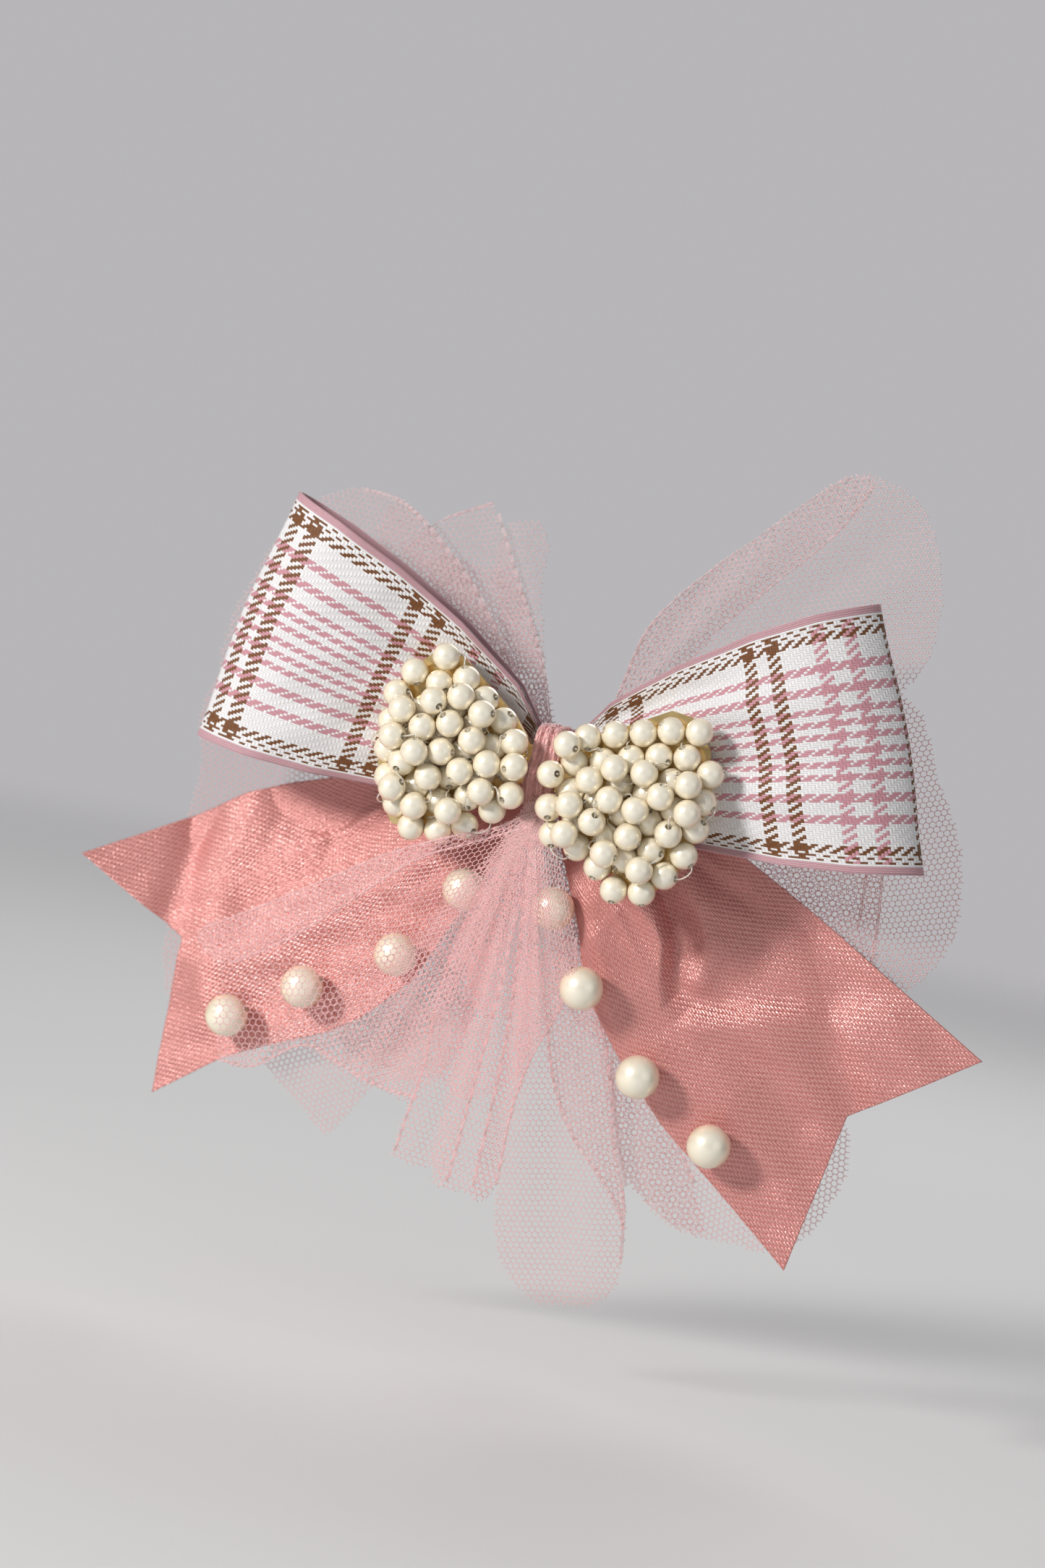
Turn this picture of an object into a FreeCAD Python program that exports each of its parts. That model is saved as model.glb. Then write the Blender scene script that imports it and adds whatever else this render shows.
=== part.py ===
import FreeCAD, Part
import math
import os
import random
import Sketcher

# Hair bow with a spring clip. X to the viewer's right, Z up, the front faces -Y.
# The origin is the middle of the clip's closed grip plane, behind the knot.

doc = FreeCAD.newDocument("hair_bow")
sheet = doc.addObject("Spreadsheet::Sheet", "Dims")
Vector = FreeCAD.Vector

SIZES = [
    # ribbons and tulle
    ("ribbon_width", 50.0), ("ribbon_wall", 0.8), ("loop_length", 64.5), ("loop_angle", 15.7),
    ("tail_length", 94.0), ("tail_angle", 30.5), ("tail_notch", 14.0),
    ("tulle_root", 0.3), ("tulle_body", 2.4),
    ("lobe_upper_right_length", 77.0), ("lobe_right_length", 76.0),
    ("lobe_lower_right_length", 93.0), ("lobe_bottom_length", 98.0),
    ("lobe_bottom_strip_length", 78.0), ("lobe_lower_left_length", 84.0),
    ("lobe_left_length", 74.0), ("lobe_upper_left_length", 73.0),
    ("lobe_upper_inner_length", 50.0),
    # metal base and pearls
    ("plate_thick", 1.2), ("plate_rim", 0.8), ("plate_rim_width", 1.5), ("plate_hole", 2.1),
    ("plate_hole_pitch", 3.9), ("seed_pearl", 5.0), ("seed_bore", 1.3), ("tail_pearl", 8.0),
    ("tail_bore", 1.4), ("thread", 0.35), ("seed_count", 50.0),
    # knot
    ("wrap_width", 5.6), ("wrap_wall", 1.2), ("wrap_height", 16.4),
    ("binding_width", 3.3), ("binding_wall", 0.6), ("binding_pitch", 0.66),
    # backing and clip
    ("pad_length", 54.0), ("pad_height", 15.0), ("pad_thick", 1.7),
    ("jaw_thick", 0.8), ("grip_gap", 0.4), ("jaw_tip", 33.0), ("jaw_tab", 34.0),
    ("upper_jaw_width", 8.9), ("lower_jaw_width", 7.2), ("pivot_along", 20.0),
    ("pivot_back", 3.4), ("pin_radius", 0.8), ("pin_clearance", 0.05), ("ear_radius", 1.9),
    ("ear_thick", 0.6), ("rivet_radius", 1.4), ("rivet_thick", 0.4), ("spring_wire", 0.6),
    ("spring_radius", 1.7), ("spring_pitch", 0.75), ("spring_turns", 3.0),
    ("tooth_height", 0.3), ("tooth_pitch", 1.8), ("tooth_count", 7.0),
]
for row, (alias, value) in enumerate(SIZES, start=1):
    sheet.set("A%d" % row, alias)
    sheet.set("B%d" % row, str(value))
    sheet.setAlias("B%d" % row, alias)
doc.recompute()
size = {alias: value for alias, value in SIZES}

# Depths of the layers, back to front (mm along Y).
PAD_BACK = -1.1
TULLE_BACK_LAYER = -4.2
TULLE_FRONT_LAYER = -6.8
TAIL_BACK = -8.3
WRAP_FRONT = -24.8
PLATE_BACK = -21.4
PLATE_FRONT = PLATE_BACK - size["plate_thick"]
DROOP_START = 12.0


# ---------------------------------------------------------------- helpers
def origin_plane(body, role):
    for feature in body.Origin.OriginFeatures:
        if feature.Role == role:
            return feature
    raise ValueError(role)


def new_body(label):
    body = doc.addObject("PartDesign::Body", label)
    body.Label = label
    return body


def new_sketch(body, name, role, offset=0.0, expression=None):
    sketch = body.newObject("Sketcher::SketchObject", name)
    sketch.AttachmentSupport = [(origin_plane(body, role), "")]
    sketch.MapMode = "FlatFace"
    sketch.AttachmentOffset = FreeCAD.Placement(Vector(0, 0, offset), FreeCAD.Rotation())
    if expression:
        sketch.setExpression("AttachmentOffset.Base.z", expression)
    return sketch


def add_polygon(sketch, points):
    first = sketch.GeometryCount
    count = len(points)
    for i in range(count):
        ax, ay = points[i]
        bx, by = points[(i + 1) % count]
        sketch.addGeometry(Part.LineSegment(Vector(ax, ay, 0), Vector(bx, by, 0)), False)
    for i in range(count):
        following = first + (i + 1) % count
        sketch.addConstraint(Sketcher.Constraint("Coincident", first + i, 2, following, 1))
    return first


def add_circle(sketch, x, y, radius, expression=None):
    index = sketch.addGeometry(Part.Circle(Vector(x, y, 0), Vector(0, 0, 1), radius), False)
    if expression:
        constraint = sketch.addConstraint(Sketcher.Constraint("Radius", index, radius))
        sketch.setExpression("Constraints[%d]" % constraint, expression)
    return index


def pad(body, name, sketch, length, expression=None, middle=False, reverse=False):
    feature = body.newObject("PartDesign::Pad", name)
    feature.Profile = sketch
    feature.Length = length
    if expression:
        feature.setExpression("Length", expression)
    feature.Midplane = middle
    feature.Reversed = reverse
    body.Tip = feature
    doc.recompute()
    return feature


def pocket(body, name, sketch, length, middle=False):
    before = body.Shape.Volume
    feature = body.newObject("PartDesign::Pocket", name)
    feature.Profile = sketch
    feature.Length = length
    feature.Midplane = middle
    body.Tip = feature
    doc.recompute()
    if body.Shape.Volume > before - 1e-6:
        feature.Reversed = True
        doc.recompute()
    return feature


def turned_in_front_plane(degrees):
    # turns +X towards +Z
    return FreeCAD.Rotation(Vector(0, -1, 0), degrees)


def rounded_box(half_x, low_y, high_y, corner, steps=5):
    points = []
    corners = [(half_x - corner, high_y - corner, 0), (-half_x + corner, high_y - corner, 90),
               (-half_x + corner, low_y + corner, 180), (half_x - corner, low_y + corner, 270)]
    for cx, cy, start in corners:
        for k in range(steps + 1):
            angle = math.radians(start + 90.0 * k / steps)
            points.append((cx + corner * math.cos(angle), cy + corner * math.sin(angle)))
    return points


# ---------------------------------------------------------------- tulle lobes
def loft_body(label, angle, stations, length_alias=None):
    """Lens-shaped sections along the local +X axis, turned to its direction.

    A station is (share of the length, depth y, side offset, half depth, half width).
    """
    body = new_body(label)
    length = size[length_alias]
    sections = []
    for i, (share, depth, side, half_depth, half_width) in enumerate(stations):
        sketch = new_sketch(body, "%s_section_%d" % (label, i), "YZ_Plane", share * length,
                            "Dims.%s * %.4f" % (length_alias, share))
        centre = Vector(depth, side, 0)
        wide = Vector(depth, side + half_width, 0)
        thin = Vector(depth - half_depth, side, 0)
        sketch.addGeometry(Part.Ellipse(wide, thin, centre), False)
        sections.append(sketch)
    loft = body.newObject("PartDesign::AdditiveLoft", label + "_loft")
    loft.Profile = sections[0]
    loft.Sections = sections[1:]
    loft.Ruled = True
    body.Tip = loft
    doc.recompute()
    body.Placement = FreeCAD.Placement(Vector(0, 0, 0), turned_in_front_plane(angle))
    return body


def tulle_lobe(label, angle, alias, half_width, slot, layer, slope, tip=0.55, near=0.75, side=0.0,
               flat_to=DROOP_START, near_slope=0.0):
    """One gathered lobe: a thin root in its own slot, then a full body that leans back."""
    length = size[alias]
    root = size["tulle_root"] / 2
    full = size["tulle_body"] / 2

    def depth(along):
        lean = near_slope * max(0.0, min(along, flat_to) - DROOP_START)
        return layer + lean + slope * max(0.0, along - flat_to)

    stations = [(2.0 / length, slot, 0.0, root, 2.6), (11.0 / length, slot, 0.0, root, 3.4)]
    profile = [(0.32, near * 0.62, 0.6), (0.50, near, 1.0), (0.70, 1.0, 1.4),
               (0.86, 0.5 + tip / 2, 1.5), (0.96, tip * 0.75, 1.2), (1.0, tip * 0.35, 0.6)]
    for share, wide, thick in profile:
        along = share * length
        stations.append((share, depth(along), side * share, full * thick, half_width * wide))
    return loft_body(label, angle, stations, alias)


BACK_SLOTS = [-5.2, -4.7, -4.2, -3.7, -3.2]
FRONT_SLOTS = [-7.75, -7.15, -6.55, -5.95]
BACK_LEAN = 0.14
FRONT_LEAN = 0.105

lobes = [
    tulle_lobe("tulle_lobe_upper_right", 48.0, "lobe_upper_right_length", 23.0, BACK_SLOTS[4],
               TULLE_BACK_LAYER, BACK_LEAN, tip=0.7),
    tulle_lobe("tulle_lobe_right", -12.0, "lobe_right_length", 13.0, FRONT_SLOTS[0],
               TULLE_FRONT_LAYER, FRONT_LEAN, tip=0.8),
    tulle_lobe("tulle_lobe_lower_right", -54.0, "lobe_lower_right_length", 19.0, BACK_SLOTS[3],
               TULLE_BACK_LAYER, BACK_LEAN, tip=0.6, near=0.6),
    tulle_lobe("tulle_lobe_bottom", -77.5, "lobe_bottom_length", 13.0, FRONT_SLOTS[1],
               TULLE_FRONT_LAYER, FRONT_LEAN, tip=0.85, near=0.7),
    tulle_lobe("tulle_lobe_lower_left", -122.0, "lobe_lower_left_length", 18.0, FRONT_SLOTS[2],
               TULLE_FRONT_LAYER, FRONT_LEAN, tip=0.8, near=0.6),
    tulle_lobe("tulle_lobe_left", -163.0, "lobe_left_length", 15.0, BACK_SLOTS[1],
               TULLE_BACK_LAYER, BACK_LEAN, tip=0.8, near=0.45, flat_to=36.0, near_slope=0.02),
    tulle_lobe("tulle_lobe_upper_left", 150.0, "lobe_upper_left_length", 18.5, FRONT_SLOTS[3],
               TULLE_FRONT_LAYER, FRONT_LEAN, tip=0.7, near=0.7),
    tulle_lobe("tulle_lobe_upper_inner", 108.0, "lobe_upper_inner_length", 14.0, BACK_SLOTS[0],
               TULLE_BACK_LAYER, BACK_LEAN, tip=0.7, near=0.7),
]


def draped_tulle(label, angle, alias, stations):
    """Tulle that leaves the knot's foot and falls over the layers below.

    A station is (distance along, depth y, side offset, half depth, half width), all in mm.
    """
    length = size[alias]
    shares = [(along / length, depth, side, thin, wide) for along, depth, side, thin, wide in stations]
    return loft_body(label, angle, shares, alias)


# Out of the knot's foot, over the lowest pearls, down over the left ribbon tail.
knot_tail = draped_tulle("tulle_knot_tail", 219.5, "lobe_lower_left_length", [
    (6.5, -25.6, 7.2, 0.35, 1.8), (13.0, -28.0, 8.0, 0.4, 2.8), (19.0, -33.8, 8.5, 0.4, 4.6),
    (28.0, -33.6, 8.5, 0.4, 9.0), (37.0, -25.0, 11.5, 0.4, 12.0), (46.0, -21.9, 12.5, 0.45, 14.5),
    (62.0, -19.2, 13.0, 0.45, 16.5), (78.0, -17.2, 10.0, 0.45, 15.0), (84.0, -16.4, 9.0, 0.35, 11.0),
])
# Straight down between the two ribbon tails, with raw cut ends.
strip_bottom = draped_tulle("tulle_strip_bottom", -97.0, "lobe_bottom_strip_length", [
    (9.2, -22.0, 0.0, 0.5, 2.2), (14.0, -21.4, 0.0, 0.6, 2.8), (25.0, -20.0, 2.0, 0.9, 4.0),
    (32.0, -18.8, 1.0, 1.0, 6.6), (40.0, -17.0, 0.0, 1.2, 12.6), (60.0, -12.5, 0.0, 1.2, 15.0),
    (78.0, -9.0, 0.0, 1.0, 12.5),
])


# ---------------------------------------------------------------- satin tails
TAIL_LEAN = 0.08
TAIL_THIN = 0.8
# share of the length, depth of the rolled fold, upper edge, lower edge (edges in ribbon widths)
TAIL_SHAPE = [(0.03, 0.8, 0.07, 0.07), (0.14, 0.8, 0.14, 0.22), (0.27, 6.4, 0.20, 0.38),
              (0.42, 6.0, 0.22, 0.63), (0.64, 4.6, 0.23, 0.72), (1.0, 3.2, 0.26, 0.74)]


def tail_back(along):
    return TAIL_BACK + TAIL_LEAN * max(0.0, along - DROOP_START)


def section_back(index, root_depth):
    if index < 2:
        return root_depth + TAIL_THIN / 2
    return tail_back(TAIL_SHAPE[index][0] * size["tail_length"])


def pearl_seat(along, radius, root_depth):
    """Depth of a pearl's centre when it rests on the sloping front of a tail."""
    for i in range(len(TAIL_SHAPE) - 1):
        start = TAIL_SHAPE[i][0] * size["tail_length"]
        end = TAIL_SHAPE[i + 1][0] * size["tail_length"]
        if start <= along <= end:
            front_start = section_back(i, root_depth) - TAIL_SHAPE[i][1]
            front_end = section_back(i + 1, root_depth) - TAIL_SHAPE[i + 1][1]
            slope = (front_end - front_start) / (end - start)
            front = front_start + slope * (along - start)
            return front - radius * math.sqrt(1 + slope * slope) - 0.12
    raise ValueError(along)


def satin_tail(label, side, root_depth):
    """A ribbon tail: pinched at the knot, full width further out, swallow-tail end."""
    body = new_body(label)
    length = size["tail_length"]
    full = size["ribbon_width"]
    sections = []
    for i, (share, roll, upper, lower) in enumerate(TAIL_SHAPE):
        sketch = new_sketch(body, "%s_section_%d" % (label, i), "YZ_Plane", share * length,
                            "Dims.tail_length * %.3f" % share)
        back = section_back(i, root_depth)
        # The roll of the fold is deep along the lower edge and runs out to cloth at the upper edge.
        # Local +Z is the upper edge on the right tail and the lower one on the left.
        high = side * upper * full
        low = -side * lower * full
        crest = high + (low - high) * 0.45
        add_polygon(sketch, [(back, low), (back, high), (back - TAIL_THIN, high),
                             (back - roll, crest), (back - roll, low)])
        sections.append(sketch)
    loft = body.newObject("PartDesign::AdditiveLoft", label + "_loft")
    loft.Profile = sections[0]
    loft.Sections = sections[1:]
    loft.Ruled = True
    body.Tip = loft
    doc.recompute()
    notch = new_sketch(body, label + "_notch", "XZ_Plane", 30.0)
    centre = -side * 0.24 * full
    half = 0.52 * full
    add_polygon(notch, [(length - size["tail_notch"], centre), (length + 2.0, centre - half),
                        (length + 2.0, centre + half)])
    pocket(body, label + "_swallow_tail", notch, 80.0, middle=True)
    angle = -size["tail_angle"] if side > 0 else 180.0 + size["tail_angle"]
    body.Placement = FreeCAD.Placement(Vector(0, 0, 0), turned_in_front_plane(angle))
    return body


RIGHT_ROOT = -8.6
LEFT_ROOT = -9.5
tail_right = satin_tail("satin_tail_right", 1, RIGHT_ROOT)
tail_left = satin_tail("satin_tail_left", -1, LEFT_ROOT)


# ---------------------------------------------------------------- plaid loops
LOOP_FRONT_PROFILE = [(0.035, -15.6), (0.08, -15.8), (0.19, -17.0), (0.32, -18.6), (0.46, -20.0),
                      (0.56, -21.4), (0.66, -23.6), (0.78, -24.6), (0.88, -23.6), (0.95, -21.2)]
LOOP_BACK_PROFILE = [(0.95, -13.9), (0.88, -12.6), (0.66, -11.9), (0.32, -12.0), (0.035, -12.2)]
LOOP_FAN = [(0.0, 0.07), (0.06, 0.085), (0.10, 0.13), (0.19, 0.22), (0.40, 0.33), (0.62, 0.41), (0.82, 0.46),
            (1.02, 0.49)]


def offset_closed(points, distance):
    count = len(points)
    result = []
    for i in range(count):
        ax, ay = points[i - 1]
        bx, by = points[i]
        cx, cy = points[(i + 1) % count]
        first = math.atan2(by - ay, bx - ax)
        second = math.atan2(cy - by, cx - bx)
        n1 = (math.sin(first), -math.cos(first))
        n2 = (math.sin(second), -math.cos(second))
        mx, my = n1[0] + n2[0], n1[1] + n2[1]
        scale = distance * 2.0 / max(mx * mx + my * my, 0.4)
        result.append((bx + mx * scale, by + my * scale))
    return result


def plaid_loop(label, side):
    """A ribbon folded into an open loop and gathered to a fan at the knot."""
    body = new_body(label)
    length = size["loop_length"]
    wall = size["ribbon_wall"] / 2
    middle = [(share * length, y) for share, y in LOOP_FRONT_PROFILE]
    middle.append((length, -17.6))
    middle += [(share * length, y) for share, y in LOOP_BACK_PROFILE]
    profile = new_sketch(body, label + "_profile", "XY_Plane")
    add_polygon(profile, offset_closed(middle, wall))
    add_polygon(profile, offset_closed(middle, -wall))
    pad(body, label + "_ribbon", profile, size["ribbon_width"], "Dims.ribbon_width", middle=True)
    edge = [(share * length, half * size["ribbon_width"]) for share, half in LOOP_FAN]
    beyond = size["ribbon_width"]
    for name, sign in (("above", 1), ("below", -1)):
        fan = new_sketch(body, "%s_fan_%s" % (label, name), "XZ_Plane", 30.0)
        outline = [(x, sign * y) for x, y in edge]
        outline += [(edge[-1][0] + 5, sign * beyond), (-5, sign * beyond), (-5, sign * edge[0][1])]
        add_polygon(fan, outline)
        pocket(body, "%s_cut_%s" % (label, name), fan, 120.0, middle=True)
    angle = size["loop_angle"] if side > 0 else 180.0 - size["loop_angle"]
    body.Placement = FreeCAD.Placement(Vector(0, 0, 0), turned_in_front_plane(angle))
    return body


loop_right = plaid_loop("plaid_loop_right", 1)
loop_left = plaid_loop("plaid_loop_left", -1)


# ---------------------------------------------------------------- knot
def ring_body(label, half_height, front, back, wall, width, width_alias, corner):
    body = new_body(label)
    sketch = new_sketch(body, label + "_ring", "YZ_Plane")
    outer = [(y, x) for x, y in rounded_box(half_height, front, back, corner)]
    inner = [(y, x) for x, y in rounded_box(half_height - wall, front + wall, back - wall,
                                            max(corner - wall, 0.3))]
    add_polygon(sketch, outer)
    add_polygon(sketch, inner)
    pad(body, label + "_band", sketch, width, "Dims." + width_alias, middle=True)
    return body


binding = ring_body("binding_thread", 6.6, -17.0, -11.1, 0.3, size["binding_width"],
                    "binding_width", 1.2)
turn = new_sketch(binding, "binding_turn", "YZ_Plane", -1.62)
add_polygon(turn, [(y, x) for x, y in rounded_box(6.9, -17.3, -11.0, 1.4)])
add_polygon(turn, [(y, x) for x, y in rounded_box(6.4, -16.8, -11.3, 1.0)])
turn_pad = pad(binding, "binding_turn_pad", turn, 0.42)
turns = binding.newObject("PartDesign::LinearPattern", "binding_turns")
turns.Originals = [turn_pad]
turns.Direction = (turn, ["N_Axis"])
turns.Occurrences = 5
turns.Length = 4 * size["binding_pitch"] + 0.18
binding.Tip = turns
doc.recompute()

wrap = new_body("centre_wrap")
wrap_half = size["wrap_height"] / 2
ring = new_sketch(wrap, "wrap_ring", "YZ_Plane")
add_polygon(ring, [(y, x) for x, y in rounded_box(wrap_half, WRAP_FRONT, -10.2, 2.6)])
add_polygon(ring, [(y, x) for x, y in rounded_box(wrap_half - 1.1, WRAP_FRONT + 1.2, -10.85, 1.4)])
wrap_pad = pad(wrap, "wrap_band", ring, size["wrap_width"], "Dims.wrap_width", middle=True)


# ---------------------------------------------------------------- perforated metal base
PLATE_SIDE = [(3.4, 3.6), (7.5, 7.8), (20.0, 16.0), (24.0, 15.8), (28.4, 11.0), (30.4, 4.0),
              (30.4, -4.5), (28.4, -11.5), (24.6, -16.8), (20.0, -17.2), (7.5, -8.2), (3.4, -3.6)]
PLATE_TILT = math.radians(-4.0)
plate_outline = [(x * math.cos(PLATE_TILT) - z * math.sin(PLATE_TILT),
                  x * math.sin(PLATE_TILT) + z * math.cos(PLATE_TILT))
                 for x, z in PLATE_SIDE + [(-x, z) for x, z in reversed(PLATE_SIDE)]]


def inside(points, x, z):
    result = False
    for i in range(len(points)):
        ax, az = points[i - 1]
        bx, bz = points[i]
        if (az > z) != (bz > z) and x < (bx - ax) * (z - az) / (bz - az) + ax:
            result = not result
    return result


def edge_distance(points, x, z):
    best = 1e9
    for i in range(len(points)):
        ax, az = points[i - 1]
        bx, bz = points[i]
        dx, dz = bx - ax, bz - az
        share = max(0.0, min(1.0, ((x - ax) * dx + (z - az) * dz) / (dx * dx + dz * dz)))
        best = min(best, math.hypot(x - ax - share * dx, z - az - share * dz))
    return best


plate = new_body("gold_bow_plate")
# an XZ sketch looks along its own normal, so the pad length runs towards the front
plate_sketch = new_sketch(plate, "plate_outline", "XZ_Plane", -PLATE_BACK)
add_polygon(plate_sketch, plate_outline)
pad(plate, "plate_sheet", plate_sketch, size["plate_thick"], "Dims.plate_thick")
rim_sketch = new_sketch(plate, "plate_rim", "XZ_Plane", -PLATE_BACK)
add_polygon(rim_sketch, plate_outline)
add_polygon(rim_sketch, offset_closed(plate_outline, size["plate_rim_width"]))
rim = pad(plate, "plate_rim_pad", rim_sketch, size["plate_thick"] + size["plate_rim"],
          "Dims.plate_thick + Dims.plate_rim")
hole_sketch = new_sketch(plate, "plate_holes", "XZ_Plane", -PLATE_BACK - 5.0)
pitch = size["plate_hole_pitch"]
first_hole = None
for column in range(-9, 10):
    for row in range(-8, 9):
        hole_x = column * pitch * 0.866
        hole_z = (row + 0.5 * (column % 2)) * pitch
        margin = size["plate_rim_width"] + size["plate_hole"] / 2 + 0.5
        if not inside(plate_outline, hole_x, hole_z) or abs(hole_x) < 6.0:
            continue
        if edge_distance(plate_outline, hole_x, hole_z) < margin:
            continue
        if first_hole is None:
            first_hole = add_circle(hole_sketch, hole_x, hole_z, size["plate_hole"] / 2,
                                    "Dims.plate_hole / 2")
        else:
            hole = add_circle(hole_sketch, hole_x, hole_z, size["plate_hole"] / 2)
            hole_sketch.addConstraint(Sketcher.Constraint("Equal", first_hole, hole))
pocket(plate, "plate_perforation", hole_sketch, 12.0, middle=True)


# ---------------------------------------------------------------- pearls and beading thread
def drilled_pearl(name, diameter_alias, bore_alias):
    ball = doc.addObject("Part::Sphere", name + "_ball")
    ball.setExpression("Radius", "Dims.%s / 2" % diameter_alias)
    bore = doc.addObject("Part::Cylinder", name + "_bore")
    bore.setExpression("Radius", "Dims.%s / 2" % bore_alias)
    bore.setExpression("Height", "Dims.%s + 2" % diameter_alias)
    bore.setExpression("Placement.Base.z", "-Dims.%s / 2 - 1" % diameter_alias)
    cut = doc.addObject("Part::Cut", name)
    cut.Base = ball
    cut.Tool = bore
    return cut


def thread_length(name, diameter_alias, beyond):
    rod = doc.addObject("Part::Cylinder", name)
    rod.setExpression("Radius", "Dims.thread / 2")
    rod.setExpression("Height", "Dims.%s + %.2f" % (diameter_alias, 2 * beyond))
    rod.setExpression("Placement.Base.z", "-Dims.%s / 2 - %.2f" % (diameter_alias, beyond))
    return rod


seed_shape = drilled_pearl("seed_pearl_shape", "seed_pearl", "seed_bore")
tail_pearl_shape = drilled_pearl("tail_pearl_shape", "tail_pearl", "tail_bore")
THREAD_BEYOND = 0.55
seed_thread = thread_length("seed_thread_shape", "seed_pearl", THREAD_BEYOND)
doc.recompute()

# Outlines of the pearl centres (x, z), the left one mirrored. A pearl sits at each corner.
SEEDS_RIGHT = [(2.6, 2.0), (5.5, 6.2), (11.0, 8.6), (16.3, 9.6), (21.3, 10.6), (25.1, 14.0),
               (30.4, 8.2), (30.6, 2.6), (29.8, -3.2), (29.6, -8.6), (26.8, -13.0), (23.1, -18.2),
               (17.0, -18.8), (12.9, -14.6), (8.7, -12.2), (4.4, -11.2), (1.8, -6.8)]
SEEDS_LEFT = [(3.6, 2.2), (7.8, 6.8), (12.2, 10.2), (16.8, 13.4), (20.8, 16.4), (25.4, 13.6),
              (28.6, 8.0), (28.4, 2.0), (28.6, -5.0), (25.6, -10.0), (22.4, -14.9), (17.2, -15.2),
              (12.4, -13.6), (7.5, -9.4), (3.4, -5.4)]


def seed_floor(x, z):
    """Depth a pearl can sink to: the metal base, or the knot where it crosses the middle."""
    reach = size["seed_pearl"] / 2 + 0.05
    beside_knot = abs(x) > size["wrap_width"] / 2 + reach or abs(z) > size["wrap_height"] / 2 + reach
    return (PLATE_FRONT - size["plate_rim"] if beside_knot else WRAP_FRONT) - reach


def scatter_seeds(area, random_seed):
    """Pearls crowd into two loose layers: pushed apart, pressed back to the metal base."""
    dice = random.Random(random_seed)
    count = int(size["seed_count"])
    apart = size["seed_pearl"] + 0.05
    centre_x = sum(x for x, z in area) / len(area)
    centre_z = sum(z for x, z in area) / len(area)
    seeds = [[x, seed_floor(x, z) - 0.5, z] for x, z in area]
    while len(seeds) < count:
        x, z = dice.uniform(1.8, 30.8), dice.uniform(-18.6, 17.0)
        if inside(area, x, z):
            seeds.append([x, seed_floor(x, z) - dice.uniform(0.0, 5.0), z])
    for step in range(2500):
        press = 0.06 if step < 1900 else 0.0
        for seed in seeds:
            seed[1] += press
            seed[0] += (centre_x - seed[0]) * press * 0.02
            seed[2] += (centre_z - seed[2]) * press * 0.02
        moved = False
        for i in range(count):
            for j in range(i):
                a, b = seeds[i], seeds[j]
                dx, dy, dz = a[0] - b[0], a[1] - b[1], a[2] - b[2]
                gap = math.sqrt(dx * dx + dy * dy + dz * dz)
                if gap < apart:
                    push = (apart + 0.004 - gap) / 2 / max(gap, 1e-6)
                    a[0] += dx * push
                    a[1] += dy * push
                    a[2] += dz * push
                    b[0] -= dx * push
                    b[1] -= dy * push
                    b[2] -= dz * push
                    moved = True
        for seed in seeds:
            if not inside(area, seed[0], seed[2]):
                seed[0] += (centre_x - seed[0]) * 0.03
                seed[2] += (centre_z - seed[2]) * 0.03
            seed[0] = max(seed[0], 2.6)
            seed[1] = min(seed[1], seed_floor(seed[0], seed[2]))
        if step > 1950 and not moved:
            break
    closest = min(math.dist(seeds[i], seeds[j]) for i in range(count) for j in range(i))
    print("closest pearl centres %.3f mm, front %.2f" % (closest, min(s[1] for s in seeds)))
    return seeds


def bore_direction(seeds, index, dice):
    """A drilling direction whose two thread ends clear every other pearl."""
    centre = seeds[index]
    reach = size["seed_pearl"] / 2 + THREAD_BEYOND
    best, best_gap = None, -1.0
    for _ in range(60):
        turn_angle = dice.uniform(0, math.pi)
        rise = dice.uniform(-0.95, 0.95)
        direction = (math.cos(turn_angle) * math.cos(rise), math.sin(rise),
                     math.sin(turn_angle) * math.cos(rise))
        gap = 1e9
        for sign in (-1, 1):
            end = [centre[k] + sign * direction[k] * reach for k in range(3)]
            gap = min(gap, PLATE_FRONT - size["plate_rim"] - end[1])
            for j, other in enumerate(seeds):
                if j != index:
                    gap = min(gap, math.dist(end, other) - size["seed_pearl"] / 2)
        if gap > best_gap:
            best, best_gap = direction, gap
    return best, best_gap


def placed(shape, centre, direction):
    copy = shape.copy()
    turn_to = FreeCAD.Rotation(Vector(0, 0, 1), Vector(*direction))
    copy.Placement = FreeCAD.Placement(Vector(*centre), turn_to).multiply(shape.Placement)
    return copy


def pearl_cluster(side, area, label, thread_label, random_seed):
    dice = random.Random(random_seed + 50)
    seeds = scatter_seeds(area, random_seed)
    pearls, threads = [], []
    for i in range(len(seeds)):
        direction, gap = bore_direction(seeds, i, dice)
        centre = (side * seeds[i][0], seeds[i][1], seeds[i][2])
        heading = (side * direction[0], direction[1], direction[2])
        pearls.append(placed(seed_shape.Shape, centre, heading))
        if gap > size["thread"] / 2 + 0.03:
            threads.append(placed(seed_thread.Shape, centre, heading))
    group = doc.addObject("Part::Feature", label)
    group.Shape = Part.makeCompound(pearls)
    group.Label = label
    thread_group = doc.addObject("Part::Feature", thread_label)
    thread_group.Shape = Part.makeCompound(threads)
    thread_group.Label = thread_label
    return group, thread_group


seeds_right, thread_right = pearl_cluster(1, SEEDS_RIGHT, "seed_pearls_right",
                                          "beading_thread_right", 11)
seeds_left, thread_left = pearl_cluster(-1, SEEDS_LEFT, "seed_pearls_left",
                                        "beading_thread_left", 23)

# Tail pearls sit in a row above the lower edge of each satin tail (x, z).
TAIL_PEARLS_RIGHT = [(13.4, -37.8), (26.2, -51.6), (41.0, -61.4)]
TAIL_PEARLS_LEFT = [(-11.4, -24.6), (-21.9, -38.9), (-38.8, -48.6), (-52.5, -57.0)]


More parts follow.
